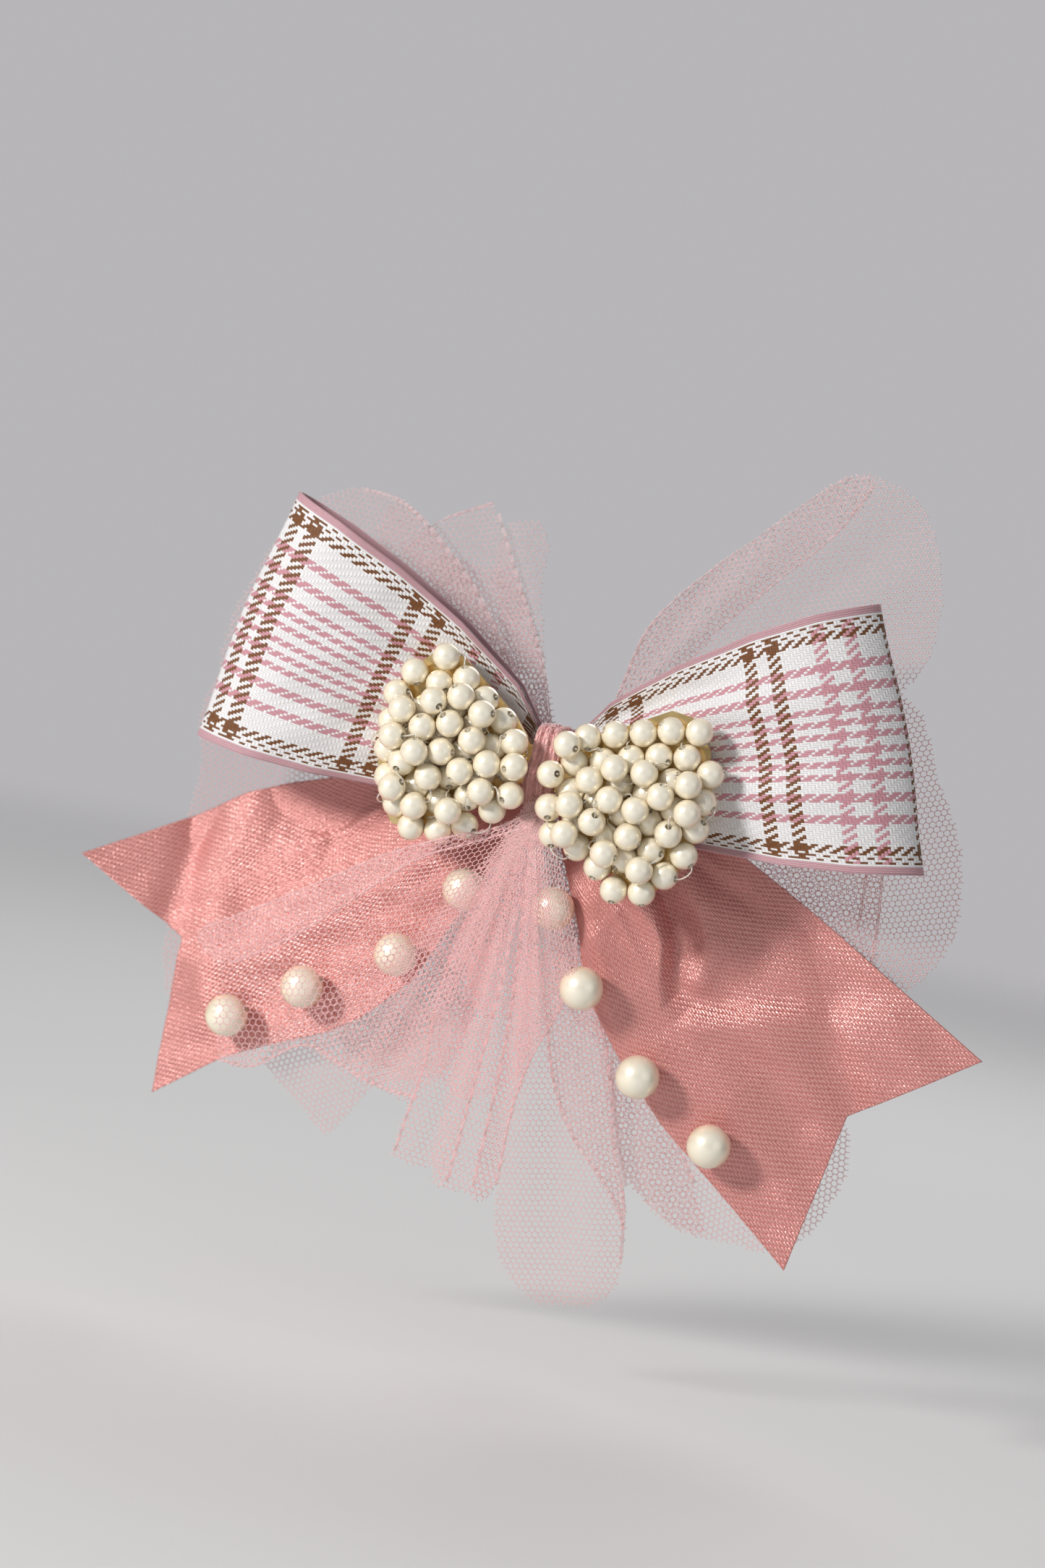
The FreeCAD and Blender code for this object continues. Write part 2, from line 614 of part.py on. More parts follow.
def tail_pearls(label, spots, angle, root_depth, extra=()):
    pearls = []
    heading = math.radians(angle)
    radius = size["tail_pearl"] / 2
    for x, z in spots:
        along = x * math.cos(heading) + z * math.sin(heading)
        centre = (x, pearl_seat(along, radius, root_depth), z)
        pearls.append(placed(tail_pearl_shape.Shape, centre,
                             (math.cos(heading), 0.0, math.sin(heading))))
    for centre in extra:
        pearls.append(placed(tail_pearl_shape.Shape, centre, (0.0, 0.0, 1.0)))
    group = doc.addObject("Part::Feature", label)
    group.Shape = Part.makeCompound(pearls)
    group.Label = label
    return group


# The topmost pearl on the right sits beside the ribbon, half behind its rolled edge.
TUCKED_PEARL = (4.6, -13.0, -25.0)
big_right = tail_pearls("tail_pearls_right", TAIL_PEARLS_RIGHT, -size["tail_angle"],
                        RIGHT_ROOT, [TUCKED_PEARL])
big_left = tail_pearls("tail_pearls_left", TAIL_PEARLS_LEFT, 180.0 + size["tail_angle"],
                       LEFT_ROOT)


# ---------------------------------------------------------------- backing pad
backing = new_body("backing_pad")
backing_sketch = new_sketch(backing, "backing_outline", "XZ_Plane", -PAD_BACK)
half_length = size["pad_length"] / 2
half_height = size["pad_height"] / 2
add_polygon(backing_sketch, rounded_box(half_length, -half_height, half_height, 5.0, 8))
backing_pad_feature = pad(backing, "backing_felt", backing_sketch, size["pad_thick"],
                          "Dims.pad_thick")


# ---------------------------------------------------------------- clip
PIVOT_X = size["pivot_along"]
PIVOT_Y = size["pivot_back"]
upper_face = -size["grip_gap"] / 2
thick = size["jaw_thick"]


def strip_outline(half_width, tip, tab):
    """Plan of a jaw: rounded tip at -X, square-shouldered tab at +X."""
    points = [(-tip + 4.0, -half_width), (tab - 2.5, -half_width), (tab, -half_width + 2.5),
              (tab, half_width - 2.5), (tab - 2.5, half_width), (-tip + 4.0, half_width)]
    for k in range(1, 8):
        angle = math.radians(90 + 180.0 * k / 8)
        points.append((-tip + 4.0 + 4.0 * math.cos(angle), half_width * math.sin(angle)))
    return points


upper = new_body("clip_upper_jaw")
upper_sketch = new_sketch(upper, "upper_outline", "XZ_Plane", -upper_face)
add_polygon(upper_sketch, strip_outline(size["upper_jaw_width"] / 2, size["jaw_tip"],
                                        size["jaw_tab"]))
pad(upper, "upper_strip", upper_sketch, thick, "Dims.jaw_thick")


def ear_outline(foot_half, foot_y, radius):
    points = [(PIVOT_X - foot_half, foot_y)]
    for k in range(11):
        angle = math.radians(180.0 - 18.0 * k)
        points.append((PIVOT_X + radius * math.cos(angle), PIVOT_Y + radius * math.sin(angle)))
    points.append((PIVOT_X + foot_half, foot_y))
    return points


bore_radius = size["pin_radius"] + size["pin_clearance"]
outer_z = size["upper_jaw_width"] / 2
for name, start in (("top", outer_z - size["ear_thick"]), ("bottom", -outer_z)):
    ear = new_sketch(upper, "upper_ear_" + name, "XY_Plane", start)
    add_polygon(ear, ear_outline(3.6, upper_face - 0.3, size["ear_radius"]))
    add_circle(ear, PIVOT_X, PIVOT_Y, bore_radius, "Dims.pin_radius + Dims.pin_clearance")
    pad(upper, "upper_ear_pad_" + name, ear, size["ear_thick"], "Dims.ear_thick")

# The lower jaw: a bent strip drawn from the side, then its two inner ears and the teeth.
LOWER_BENDS = [(-size["jaw_tip"], 0.6), (11.5, 0.6), (16.0, 5.3), (20.5, 6.7), (34.5, 14.3)]


def bent_strip(points, half):
    above, below = [], []
    for i, (x, y) in enumerate(points):
        before = points[max(i - 1, 0)]
        after = points[min(i + 1, len(points) - 1)]
        first = math.atan2(y - before[1], x - before[0]) if i > 0 else None
        second = math.atan2(after[1] - y, after[0] - x) if i < len(points) - 1 else None
        first = second if first is None else first
        second = first if second is None else second
        heading = (first + second) / 2
        reach = half / math.cos((first - second) / 2)
        above.append((x - reach * math.sin(heading), y + reach * math.cos(heading)))
        below.append((x + reach * math.sin(heading), y - reach * math.cos(heading)))
    return above + list(reversed(below))


lower = new_body("clip_lower_jaw")
lower_sketch = new_sketch(lower, "lower_side", "XY_Plane")
add_polygon(lower_sketch, bent_strip(LOWER_BENDS, thick / 2))
pad(lower, "lower_strip", lower_sketch, size["lower_jaw_width"], "Dims.lower_jaw_width",
    middle=True)
inner_z = size["lower_jaw_width"] / 2 - 0.1
for name, start in (("top", inner_z - size["ear_thick"]), ("bottom", -inner_z)):
    ear = new_sketch(lower, "lower_ear_" + name, "XY_Plane", start)
    outline = [(15.9, 5.3), (20.5, 6.7), (23.6, 8.3)]
    for k in range(11):
        angle = math.radians(20.0 - 20.0 * k)
        outline.append((PIVOT_X + size["ear_radius"] * math.cos(angle),
                        PIVOT_Y + size["ear_radius"] * math.sin(angle)))
    add_polygon(ear, outline)
    add_circle(ear, PIVOT_X, PIVOT_Y, bore_radius, "Dims.pin_radius + Dims.pin_clearance")
    pad(lower, "lower_ear_pad_" + name, ear, size["ear_thick"], "Dims.ear_thick")
tooth = new_sketch(lower, "lower_tooth", "XY_Plane")
tooth_foot = size["grip_gap"] / 2 + 0.1
tooth_x = -size["jaw_tip"] + 4.5
add_polygon(tooth, [(tooth_x, tooth_foot), (tooth_x + 0.6, tooth_foot - 0.1 - size["tooth_height"]),
                    (tooth_x + 1.2, tooth_foot)])
tooth_pad = pad(lower, "lower_tooth_pad", tooth, size["lower_jaw_width"] - 2.0,
                "Dims.lower_jaw_width - 2", middle=True)
teeth = lower.newObject("PartDesign::LinearPattern", "lower_teeth")
teeth.Originals = [tooth_pad]
teeth.Direction = (tooth, ["H_Axis"])
teeth.Occurrences = int(size["tooth_count"])
teeth.Length = (size["tooth_count"] - 1) * size["tooth_pitch"]
lower.Tip = teeth
doc.recompute()

pin = new_body("clip_pivot_pin")
pin_half = size["upper_jaw_width"] / 2 + 0.05
shaft = new_sketch(pin, "pin_shaft", "XY_Plane")
add_circle(shaft, PIVOT_X, PIVOT_Y, size["pin_radius"], "Dims.pin_radius")
pad(pin, "pin_shaft_pad", shaft, 2 * pin_half + 0.2, middle=True)
for name, start in (("top", pin_half), ("bottom", -pin_half - size["rivet_thick"])):
    head = new_sketch(pin, "pin_head_" + name, "XY_Plane", start)
    add_circle(head, PIVOT_X, PIVOT_Y, size["rivet_radius"], "Dims.rivet_radius")
    pad(pin, "pin_head_pad_" + name, head, size["rivet_thick"], "Dims.rivet_thick")


def tube(start, end, radius):
    way = Vector(*end) - Vector(*start)
    return Part.makeCylinder(radius, way.Length, Vector(*start), way)


# The torsion spring: a swept coil around the pin and two legs that push the tabs apart.
coil_height = size["spring_pitch"] * size["spring_turns"]
coil_half = coil_height / 2
wire = size["spring_wire"] / 2
coil_radius = size["spring_radius"]
helix = doc.addObject("Part::Helix", "spring_path")
helix.setExpression("Pitch", "Dims.spring_pitch")
helix.setExpression("Height", "Dims.spring_pitch * Dims.spring_turns")
helix.setExpression("Radius", "Dims.spring_radius")
section = doc.addObject("Part::Circle", "spring_section")
section.setExpression("Radius", "Dims.spring_wire / 2")
section.Placement = FreeCAD.Placement(Vector(coil_radius, 0, 0),
                                      FreeCAD.Rotation(Vector(1, 0, 0), 90))
coil = doc.addObject("Part::Sweep", "spring_coil")
coil.Sections = [section]
coil.Spine = (helix, ["Edge1"])
coil.Solid = True
coil.Frenet = True
doc.recompute()
coil_shape = coil.Shape.copy()
coil_shape.Placement = FreeCAD.Placement(Vector(PIVOT_X, PIVOT_Y, -coil_half),
                                         FreeCAD.Rotation(Vector(0, 0, 1), 0))
start_point = (PIVOT_X + coil_radius, PIVOT_Y, -coil_half)
end_point = (PIVOT_X + coil_radius, PIVOT_Y, coil_half)
leg_front = tube(start_point, (PIVOT_X + 9.0, 0.35, -coil_half), wire)
leg_back = tube(end_point, (PIVOT_X + 9.0, 9.6, coil_half), wire)
ball_start = Part.makeSphere(wire, Vector(*start_point))
ball_end = Part.makeSphere(wire, Vector(*end_point))
spring = doc.addObject("Part::Feature", "clip_spring")
spring.Shape = coil_shape.multiFuse([leg_front, leg_back, ball_start, ball_end])
spring.Label = "clip_spring"

doc.recompute()

# ---------------------------------------------------------------- checks and export
NODES = lobes + [
    knot_tail, strip_bottom, tail_right, tail_left, loop_right, loop_left, binding, wrap, plate,
    seeds_right, seeds_left, thread_right, thread_left, big_right, big_left,
    backing, upper, lower, pin, spring,
]
for item in doc.Objects:
    if "Invalid" in item.State or "Error" in item.State:
        raise RuntimeError("feature %s: %s" % (item.Name, item.State))
os.makedirs("parts", exist_ok=True)
for old in os.listdir("parts"):
    os.remove(os.path.join("parts", old))
for node in NODES:
    shape = node.Shape
    if shape.isNull() or not shape.isValid():
        raise RuntimeError("bad shape: " + node.Label)
    box = shape.BoundBox
    print("%-26s solids %3d volume %9.1f  x %6.1f..%6.1f  y %6.1f..%6.1f  z %6.1f..%6.1f" % (
        node.Label, len(shape.Solids), shape.Volume, box.XMin, box.XMax, box.YMin, box.YMax,
        box.ZMin, box.ZMax))
    shape.exportStep(os.path.join("parts", node.Label + ".step"))
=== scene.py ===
import math

import bpy
import numpy as np
from mathutils import Matrix, Vector


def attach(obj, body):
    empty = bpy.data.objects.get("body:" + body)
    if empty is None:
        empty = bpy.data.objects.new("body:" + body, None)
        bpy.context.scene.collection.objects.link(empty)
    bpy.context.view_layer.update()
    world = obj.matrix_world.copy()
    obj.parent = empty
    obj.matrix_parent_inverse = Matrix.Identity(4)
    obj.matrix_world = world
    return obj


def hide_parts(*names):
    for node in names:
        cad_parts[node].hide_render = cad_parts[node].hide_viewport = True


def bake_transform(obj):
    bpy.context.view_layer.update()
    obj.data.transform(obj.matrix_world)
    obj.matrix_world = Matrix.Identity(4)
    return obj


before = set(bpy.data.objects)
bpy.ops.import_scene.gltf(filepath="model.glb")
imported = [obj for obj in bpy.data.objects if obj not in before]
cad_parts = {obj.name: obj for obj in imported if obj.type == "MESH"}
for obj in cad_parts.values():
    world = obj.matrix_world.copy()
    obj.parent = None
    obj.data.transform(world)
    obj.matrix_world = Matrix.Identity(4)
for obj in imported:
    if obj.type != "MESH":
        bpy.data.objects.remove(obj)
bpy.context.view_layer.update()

MM = 0.001
BOW = "bow"


# ---------------------------------------------------------------- mesh helpers
def build_mesh(name, verts_mm, quads, tris=()):
    """A smooth-shaded mesh object from numpy arrays; points in millimetres."""
    mesh = bpy.data.meshes.new(name)
    verts = np.asarray(verts_mm, dtype=np.float32) * MM
    quads = np.asarray(quads, dtype=np.int32)
    tris = np.asarray(tris, dtype=np.int32)
    corners = np.concatenate([quads.ravel(), tris.ravel()])
    starts = np.concatenate([np.arange(len(quads)) * 4,
                             len(quads) * 4 + np.arange(len(tris)) * 3]).astype(np.int32)
    mesh.vertices.add(len(verts))
    mesh.vertices.foreach_set("co", verts.ravel())
    mesh.loops.add(len(corners))
    mesh.loops.foreach_set("vertex_index", corners.astype(np.int32))
    mesh.polygons.add(len(starts))
    mesh.polygons.foreach_set("loop_start", starts)
    mesh.polygons.foreach_set("use_smooth", np.full(len(starts), True))
    mesh.update(calc_edges=True)
    mesh.validate()
    obj = bpy.data.objects.new(name, mesh)
    bpy.context.scene.collection.objects.link(obj)
    return obj


def grid_quads(rows, columns, wrap_rows=False):
    i = np.arange(rows if wrap_rows else rows - 1)[:, None]
    j = np.arange(columns - 1)[None, :]
    following = (i + 1) % rows
    return np.stack([i * columns + j, following * columns + j,
                     following * columns + j + 1, i * columns + j + 1], axis=-1).reshape(-1, 4)


def ring_quads(rings, sides, closed=False):
    """Faces between neighbouring rings, each a closed loop of as many points as it has sides."""
    i = np.arange(rings if closed else rings - 1)[:, None]
    j = np.arange(sides)[None, :]
    ahead, beside = (i + 1) % rings, (j + 1) % sides
    return np.stack([i * sides + j, i * sides + beside, ahead * sides + beside, ahead * sides + j],
                    axis=-1).reshape(-1, 4)


def set_uv(obj, uv):
    """One (along, across) pair per vertex."""
    layer = obj.data.uv_layers.new(name="cloth")
    corners = np.zeros(len(obj.data.loops), dtype=np.int32)
    obj.data.loops.foreach_get("vertex_index", corners)
    layer.data.foreach_set("uv", np.asarray(uv, dtype=np.float32)[corners].ravel())


def solidify(obj, thickness_mm, offset=0.0):
    modifier = obj.modifiers.new("cloth thickness", "SOLIDIFY")
    modifier.thickness = thickness_mm * MM
    modifier.offset = offset


def finish_piece(obj, material, node):
    """Gives a piece its look, rides it on the bow and lets it stand for a node of the frame."""
    obj.data.materials.append(material)
    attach(obj, BOW)
    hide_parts(node)
    return obj


def piece_of_parts(name, parts, material, node):
    """One piece from a list of (verts, quads, tris)."""
    return finish_piece(build_mesh(name, *join_parts(parts)), material, node)


def catmull_rom(p0, p1, p2, p3, t):
    """Point between p1 and p2, for t from 0 to 1."""
    return 0.5 * (2 * p1 + (p2 - p0) * t + (2 * p0 - 5 * p1 + 4 * p2 - p3) * t * t
                  + (3 * p1 - p0 - 3 * p2 + p3) * t ** 3)


def smooth_closed(points, steps=8):
    """A closed smooth curve through the points."""
    pts = np.asarray(points, dtype=float)
    around = [np.roll(pts, shift, axis=0) for shift in (1, 0, -1, -2)]
    out = [catmull_rom(*around, t) for t in np.arange(steps) / steps]
    return np.stack(out, axis=1).reshape(-1, pts.shape[1])


def smooth_path(points, steps):
    """An open smooth curve through the points."""
    pts = np.asarray(points, dtype=float)
    padded = np.concatenate([[2 * pts[0] - pts[1]], pts, [2 * pts[-1] - pts[-2]]])
    out = [catmull_rom(*padded[i:i + 4], t)
           for i in range(len(padded) - 3) for t in np.arange(steps) / steps]
    return np.array(out + [pts[-1]])


def soft_step(value, low, high):
    """0 below low, 1 above high and smooth between them."""
    t = np.clip((value - low) / (high - low), 0.0, 1.0)
    return t * t * (3 - 2 * t)


def node_points(obj):
    """A frame node's vertices as stored, in metres, with the turn and the move that place them."""
    points = np.zeros(len(obj.data.vertices) * 3, dtype=np.float32)
    obj.data.vertices.foreach_get("co", points)
    world = np.array(obj.matrix_world)
    return points.reshape(-1, 3), world[:3, :3].T, world[:3, 3]


def inside_polygon(x, z, polygon):
    result = np.zeros(x.shape, dtype=bool)
    for (ax, az), (bx, bz) in zip(np.roll(polygon, 1, axis=0), polygon):
        crosses = (az > z) != (bz > z)
        edge_x = (bx - ax) * (z - az) / (bz - az if bz != az else 1e-9) + ax
        result ^= crosses & (x < edge_x)
    return result


def tube(points, radius, sides=8, closed=False):
    """Vertices and faces of a round tube along a path of points (mm)."""
    path = np.asarray(points, dtype=float)
    if closed:
        tangent = np.roll(path, -1, axis=0) - np.roll(path, 1, axis=0)
    else:
        tangent = np.gradient(path, axis=0)
    tangent /= np.linalg.norm(tangent, axis=1)[:, None]
    reference = np.array([0.31, 0.57, 0.76])
    side = np.cross(tangent, reference)
    side /= np.linalg.norm(side, axis=1)[:, None]
    up = np.cross(side, tangent)
    angle = np.arange(sides) * 2 * math.pi / sides
    ring = (side[:, None, :] * np.cos(angle)[None, :, None]
            + up[:, None, :] * np.sin(angle)[None, :, None])
    verts = (path[:, None, :] + radius * ring).reshape(-1, 3)
    count = len(path)
    quads = ring_quads(count, sides, closed)
    tris = []
    if not closed:
        last = (count - 1) * sides
        for k in range(1, sides - 1):
            tris.append((0, k + 1, k))
            tris.append((last, last + k, last + k + 1))
    return verts, quads, np.array(tris, dtype=np.int32).reshape(-1, 3)


def join_parts(parts):
    """Joins (verts, quads, tris) tuples into one."""
    verts, quads, tris, base = [], [], [], 0
    for part_verts, part_quads, part_tris in parts:
        verts.append(part_verts)
        quads.append(np.asarray(part_quads, dtype=np.int64).reshape(-1, 4) + base)
        tris.append(np.asarray(part_tris, dtype=np.int64).reshape(-1, 3) + base)
        base += len(part_verts)
    return np.concatenate(verts), np.concatenate(quads), np.concatenate(tris)


# ---------------------------------------------------------------- material helpers
def grey(value):
    return (value, value, value, 1.0)


def fill_ramp(ramp, stops):
    while len(ramp.elements) > 1:
        ramp.elements.remove(ramp.elements[-1])
    ramp.elements[0].position, ramp.elements[0].color = stops[0]
    for position, colour in stops[1:]:
        ramp.elements.new(position).color = colour


class Nodes:
    """Small wrapper that wires shader nodes by name."""

    def __init__(self, name):
        self.material = bpy.data.materials.new(name)
        self.material.use_nodes = True
        self.tree = self.material.node_tree
        self.shader = self.tree.nodes["Principled BSDF"]

    def add(self, kind, **settings):
        node = self.tree.nodes.new(kind)
        for key, value in settings.items():
            setattr(node, key, value)
        return node

    def plug(self, target, value):
        if isinstance(value, bpy.types.NodeSocket):
            self.tree.links.new(value, target)
        else:
            target.default_value = value

    def math(self, operation, a, b=0.0, c=0.0):
        node = self.add("ShaderNodeMath", operation=operation)
        for socket, value in zip(node.inputs, (a, b, c)):
            self.plug(socket, value)
        return node.outputs[0]

    def times(self, a, b):
        return self.math("MULTIPLY", a, b)

    def times_plus(self, a, b, c):
        return self.math("MULTIPLY_ADD", a, b, c)

    def hump(self, value):
        """0 at each whole number, 1 halfway between two of them."""
        return self.math("SINE", self.times(self.math("FRACT", value), math.pi))

    def vector(self, x, y):
        node = self.add("ShaderNodeCombineXYZ")
        self.plug(node.inputs[0], x)
        self.plug(node.inputs[1], y)
        return node.outputs[0]

    def cloth_uv(self):
        """The cloth's own coordinates in millimetres: as a vector, then along and across."""
        uv = self.add("ShaderNodeUVMap", uv_map="cloth").outputs[0]
        split = self.add("ShaderNodeSeparateXYZ")
        self.plug(split.inputs[0], uv)
        return uv, split.outputs[0], split.outputs[1]

    def stretched(self, scale):
        """Object coordinates drawn out, so that noise on them runs in streaks."""
        node = self.add("ShaderNodeMapping")
        self.plug(node.inputs["Vector"], self.add("ShaderNodeTexCoord").outputs["Object"])
        node.inputs["Scale"].default_value = scale
        return node.outputs[0]

    def mix(self, factor, a, b):
        node = self.add("ShaderNodeMix", data_type="RGBA")
        self.plug(node.inputs[0], factor)
        self.plug(node.inputs[6], a)
        self.plug(node.inputs[7], b)
        return node.outputs[2]

    def noise(self, scale, detail=2.0, vector=None, roughness=0.5):
        node = self.add("ShaderNodeTexNoise")
        node.inputs["Scale"].default_value = scale
        node.inputs["Detail"].default_value = detail
        node.inputs["Roughness"].default_value = roughness
        if vector is None:
            vector = self.add("ShaderNodeTexCoord").outputs["Object"]
        self.plug(node.inputs["Vector"], vector)
        return node.outputs["Fac"]

    def ramp(self, factor, stops, interpolation="LINEAR"):
        node = self.add("ShaderNodeValToRGB")
        node.color_ramp.interpolation = interpolation
        fill_ramp(node.color_ramp, stops)
        self.plug(node.inputs["Fac"], factor)
        return node.outputs["Color"]

    def bump(self, height, strength, distance_mm):
        node = self.add("ShaderNodeBump")
        node.inputs["Strength"].default_value = strength
        node.inputs["Distance"].default_value = distance_mm * MM
        self.plug(node.inputs["Height"], height)
        self.tree.links.new(node.outputs["Normal"], self.shader.inputs["Normal"])

    def set(self, **values):
        for key, value in values.items():
            self.plug(self.shader.inputs[key.replace("_", " ")], value)
        return self


def tulle_material(name, colour, sheen):
    """Nylon net: the yarn itself is plain, its sparkle varies over the cloth."""
    n = Nodes(name)
    sparkle = n.noise(2600.0, 1.0)
    broad = n.noise(120.0, 2.0)
    n.set(Base_Color=colour, Roughness=0.42)
    n.set(Sheen_Weight=n.times_plus(broad, sheen, 0.1), Sheen_Roughness=0.35)
    n.set(Specular_IOR_Level=n.times_plus(sparkle, 1.1, 0.1))
    n.set(Subsurface_Weight=0.35, Subsurface_Radius=(0.002, 0.001, 0.001))
    return n.material


# mm: width of a thread, and length of a float
SATIN_THREAD = 0.46
SATIN_FLOAT = 1.4


def satin_material():
    """Warp-faced satin: long floats, each thread's shifted by 0.4 of their length."""
    n = Nodes("satin_coral")
    uv, along, across = n.cloth_uv()
    slubs = n.noise(1.7, 3.0, n.vector(n.times(along, 0.25), across), 0.65)
    broad = n.noise(0.06, 2.0, uv)
    thread = n.math("DIVIDE", across, SATIN_THREAD)
    place = n.times_plus(n.math("FLOOR", thread), 0.4, n.math("DIVIDE", along, SATIN_FLOAT))
    weave_and_crown_sheen = n.times(n.math("POWER", n.hump(place), 1.4), n.math("POWER", n.hump(thread), 1.3))
    glint_streak_coords = n.vector(n.times(n.times_plus(across, 0.6, along), 0.9),
                       n.times(n.times_plus(across, -1.6, along), 0.35))
    fleck_and_glint = n.ramp(n.noise(2.2, 2.0, glint_streak_coords, 0.6),
                   [(0.35, grey(0.0)), (0.7, grey(1.0))])
    body = n.mix(broad, (0.49, 0.125, 0.115, 1), (0.57, 0.165, 0.150, 1))
    # painted highlight: each float is lighter along its crown, where satin catches the light; the
    # same shape also drives the bump
    body = n.mix(n.times(weave_and_crown_sheen, 0.80), body, (0.95, 0.50, 0.46, 1))
    # painted highlight: streaky flecks of glint lighten the colour here; the same flecks also go
    # into the bump
    body = n.mix(n.times(fleck_and_glint, 0.30), body, (0.95, 0.56, 0.51, 1))
    n.set(Base_Color=body, Metallic=0.35)
    n.set(Roughness=n.times_plus(slubs, 0.22, 0.20), Specular_IOR_Level=1.0)
    n.set(Anisotropic=0.55)
    tangent = n.add("ShaderNodeTangent", direction_type="UV_MAP", uv_map="cloth")
    n.plug(n.shader.inputs["Tangent"], tangent.outputs[0])
    n.set(Sheen_Weight=0.22, Sheen_Roughness=0.35, Sheen_Tint=(1.0, 0.72, 0.68, 1))
    height = n.times_plus(fleck_and_glint, 0.4, n.times_plus(slubs, 0.6, weave_and_crown_sheen))
    n.bump(height, 0.8, 0.14)
    return n.material


WHITE = (0.76, 0.745, 0.755, 1)
PINK = (0.56, 0.265, 0.31, 1)
BROWN = (0.155, 0.050, 0.007, 1)
SELVAGE = (0.52, 0.30, 0.335, 1)
SELVAGE_FROM = 23.3
RIBBON = 50.0
HALF_RIBBON = RIBBON / 2
WARP_PITCH = 0.42
WEFT_PITCH = 0.62


def plaid_material(name, shift, lean):
    """Twill-woven tartan. UV is in mm: along the ribbon, across from its middle.

    shift is the distance along the ribbon of the middle of the first brown pair of stripes.
    lean is the sign of the twill's diagonal.
    """
    n = Nodes(name)
    uv, along, across = n.cloth_uv()
    weft_place = n.math("DIVIDE", along, WEFT_PITCH)
    warp_place = n.math("DIVIDE", across, WARP_PITCH)
    weft_index = n.math("FLOOR", weft_place)
    warp_index = n.math("FLOOR", warp_place)
    weft_middle = n.times(n.math("ADD", weft_index, 0.5), WEFT_PITCH)
    warp_middle = n.times(n.math("ADD", warp_index, 0.5), WARP_PITCH)

    distance = n.math("DIVIDE", n.math("ABSOLUTE", warp_middle), HALF_RIBBON)
    lines = [(0.0, WHITE), (0.65, PINK), (2.0, WHITE), (3.2, PINK), (4.55, WHITE), (5.75, PINK),
             (7.1, WHITE), (9.5, PINK), (11.3, WHITE), (13.8, PINK), (15.5, WHITE), (19.9, BROWN),
             (21.2, WHITE), (21.6, BROWN), (22.05, WHITE), (22.5, BROWN), (22.9, WHITE),
             (SELVAGE_FROM, SELVAGE)]
    warp = n.ramp(distance, [(mm / HALF_RIBBON, colour) for mm, colour in lines], "CONSTANT")

    # one repeat along the ribbon: brown pair, brown pair, two pink stripes
    repeat = 55.4
    from_pair = n.math("SUBTRACT", weft_middle, shift - 5.0)
    place = n.math("FRACT", n.math("DIVIDE", from_pair, repeat))
    bars = [(0.0, WHITE), (1.2, BROWN), (3.8, WHITE), (6.2, BROWN), (8.8, WHITE),
            (28.9, BROWN), (31.5, WHITE), (33.9, BROWN), (36.5, WHITE), (42.9, PINK),
            (45.1, WHITE), (48.6, PINK), (50.8, WHITE)]
    weft = n.ramp(place, [(mm / repeat, colour) for mm, colour in bars], "CONSTANT")

    # 2/2 twill: each thread passes over two and under two, one step later each time;
    # the pink lines along the ribbon pass over three white wefts and under one
    pink_line = n.ramp(distance, [(mm / HALF_RIBBON, grey(float(colour is PINK)))
                                  for mm, colour in lines], "CONSTANT")
    white_bar = n.ramp(place, [(mm / repeat, grey(float(colour is WHITE)))
                               for mm, colour in bars], "CONSTANT")
    over = n.times_plus(n.times(pink_line, white_bar), 0.25, 0.49)
    step = n.times_plus(warp_index, lean, weft_index)
    on_top = n.math("LESS_THAN", n.math("FRACT", n.math("DIVIDE", step, 4.0)), over)
    in_selvage = n.math("GREATER_THAN", distance, SELVAGE_FROM / HALF_RIBBON)
    warp_on_top = n.math("MAXIMUM", on_top, in_selvage)
    colour = n.mix(warp_on_top, weft, warp)

    pick = n.add("ShaderNodeMix", data_type="FLOAT")
    n.plug(pick.inputs[0], warp_on_top)
    n.plug(pick.inputs[2], n.hump(weft_place))
    n.plug(pick.inputs[3], n.hump(warp_place))
    thread_height = n.math("POWER", n.math("MAXIMUM", pick.outputs[0], 0.001), 0.6)
    fuzz = n.noise(1.6, 3.0, uv, 0.7)
    # painted shade: each thread is lighter on its crown and darker where it dips beside its
    # neighbours, with fuzz noise that varies the tone at random
    crown_shade_and_fuzz = n.times_plus(thread_height, 0.24, n.times_plus(fuzz, 0.22, 0.70))
    painted_shade_colour = n.add("ShaderNodeMix", data_type="RGBA", blend_type="MULTIPLY")
    n.plug(painted_shade_colour.inputs[0], 1.0)
    n.plug(painted_shade_colour.inputs[6], colour)
    combined = n.add("ShaderNodeCombineColor")
    for channel in range(3):
        n.plug(combined.inputs[channel], crown_shade_and_fuzz)
    n.plug(painted_shade_colour.inputs[7], combined.outputs[0])
    n.set(Base_Color=painted_shade_colour.outputs[2], Roughness=0.6, Sheen_Weight=0.2, Sheen_Roughness=0.4)
    n.bump(n.times_plus(fuzz, 0.5, thread_height), 0.7, 0.12)
    return n.material


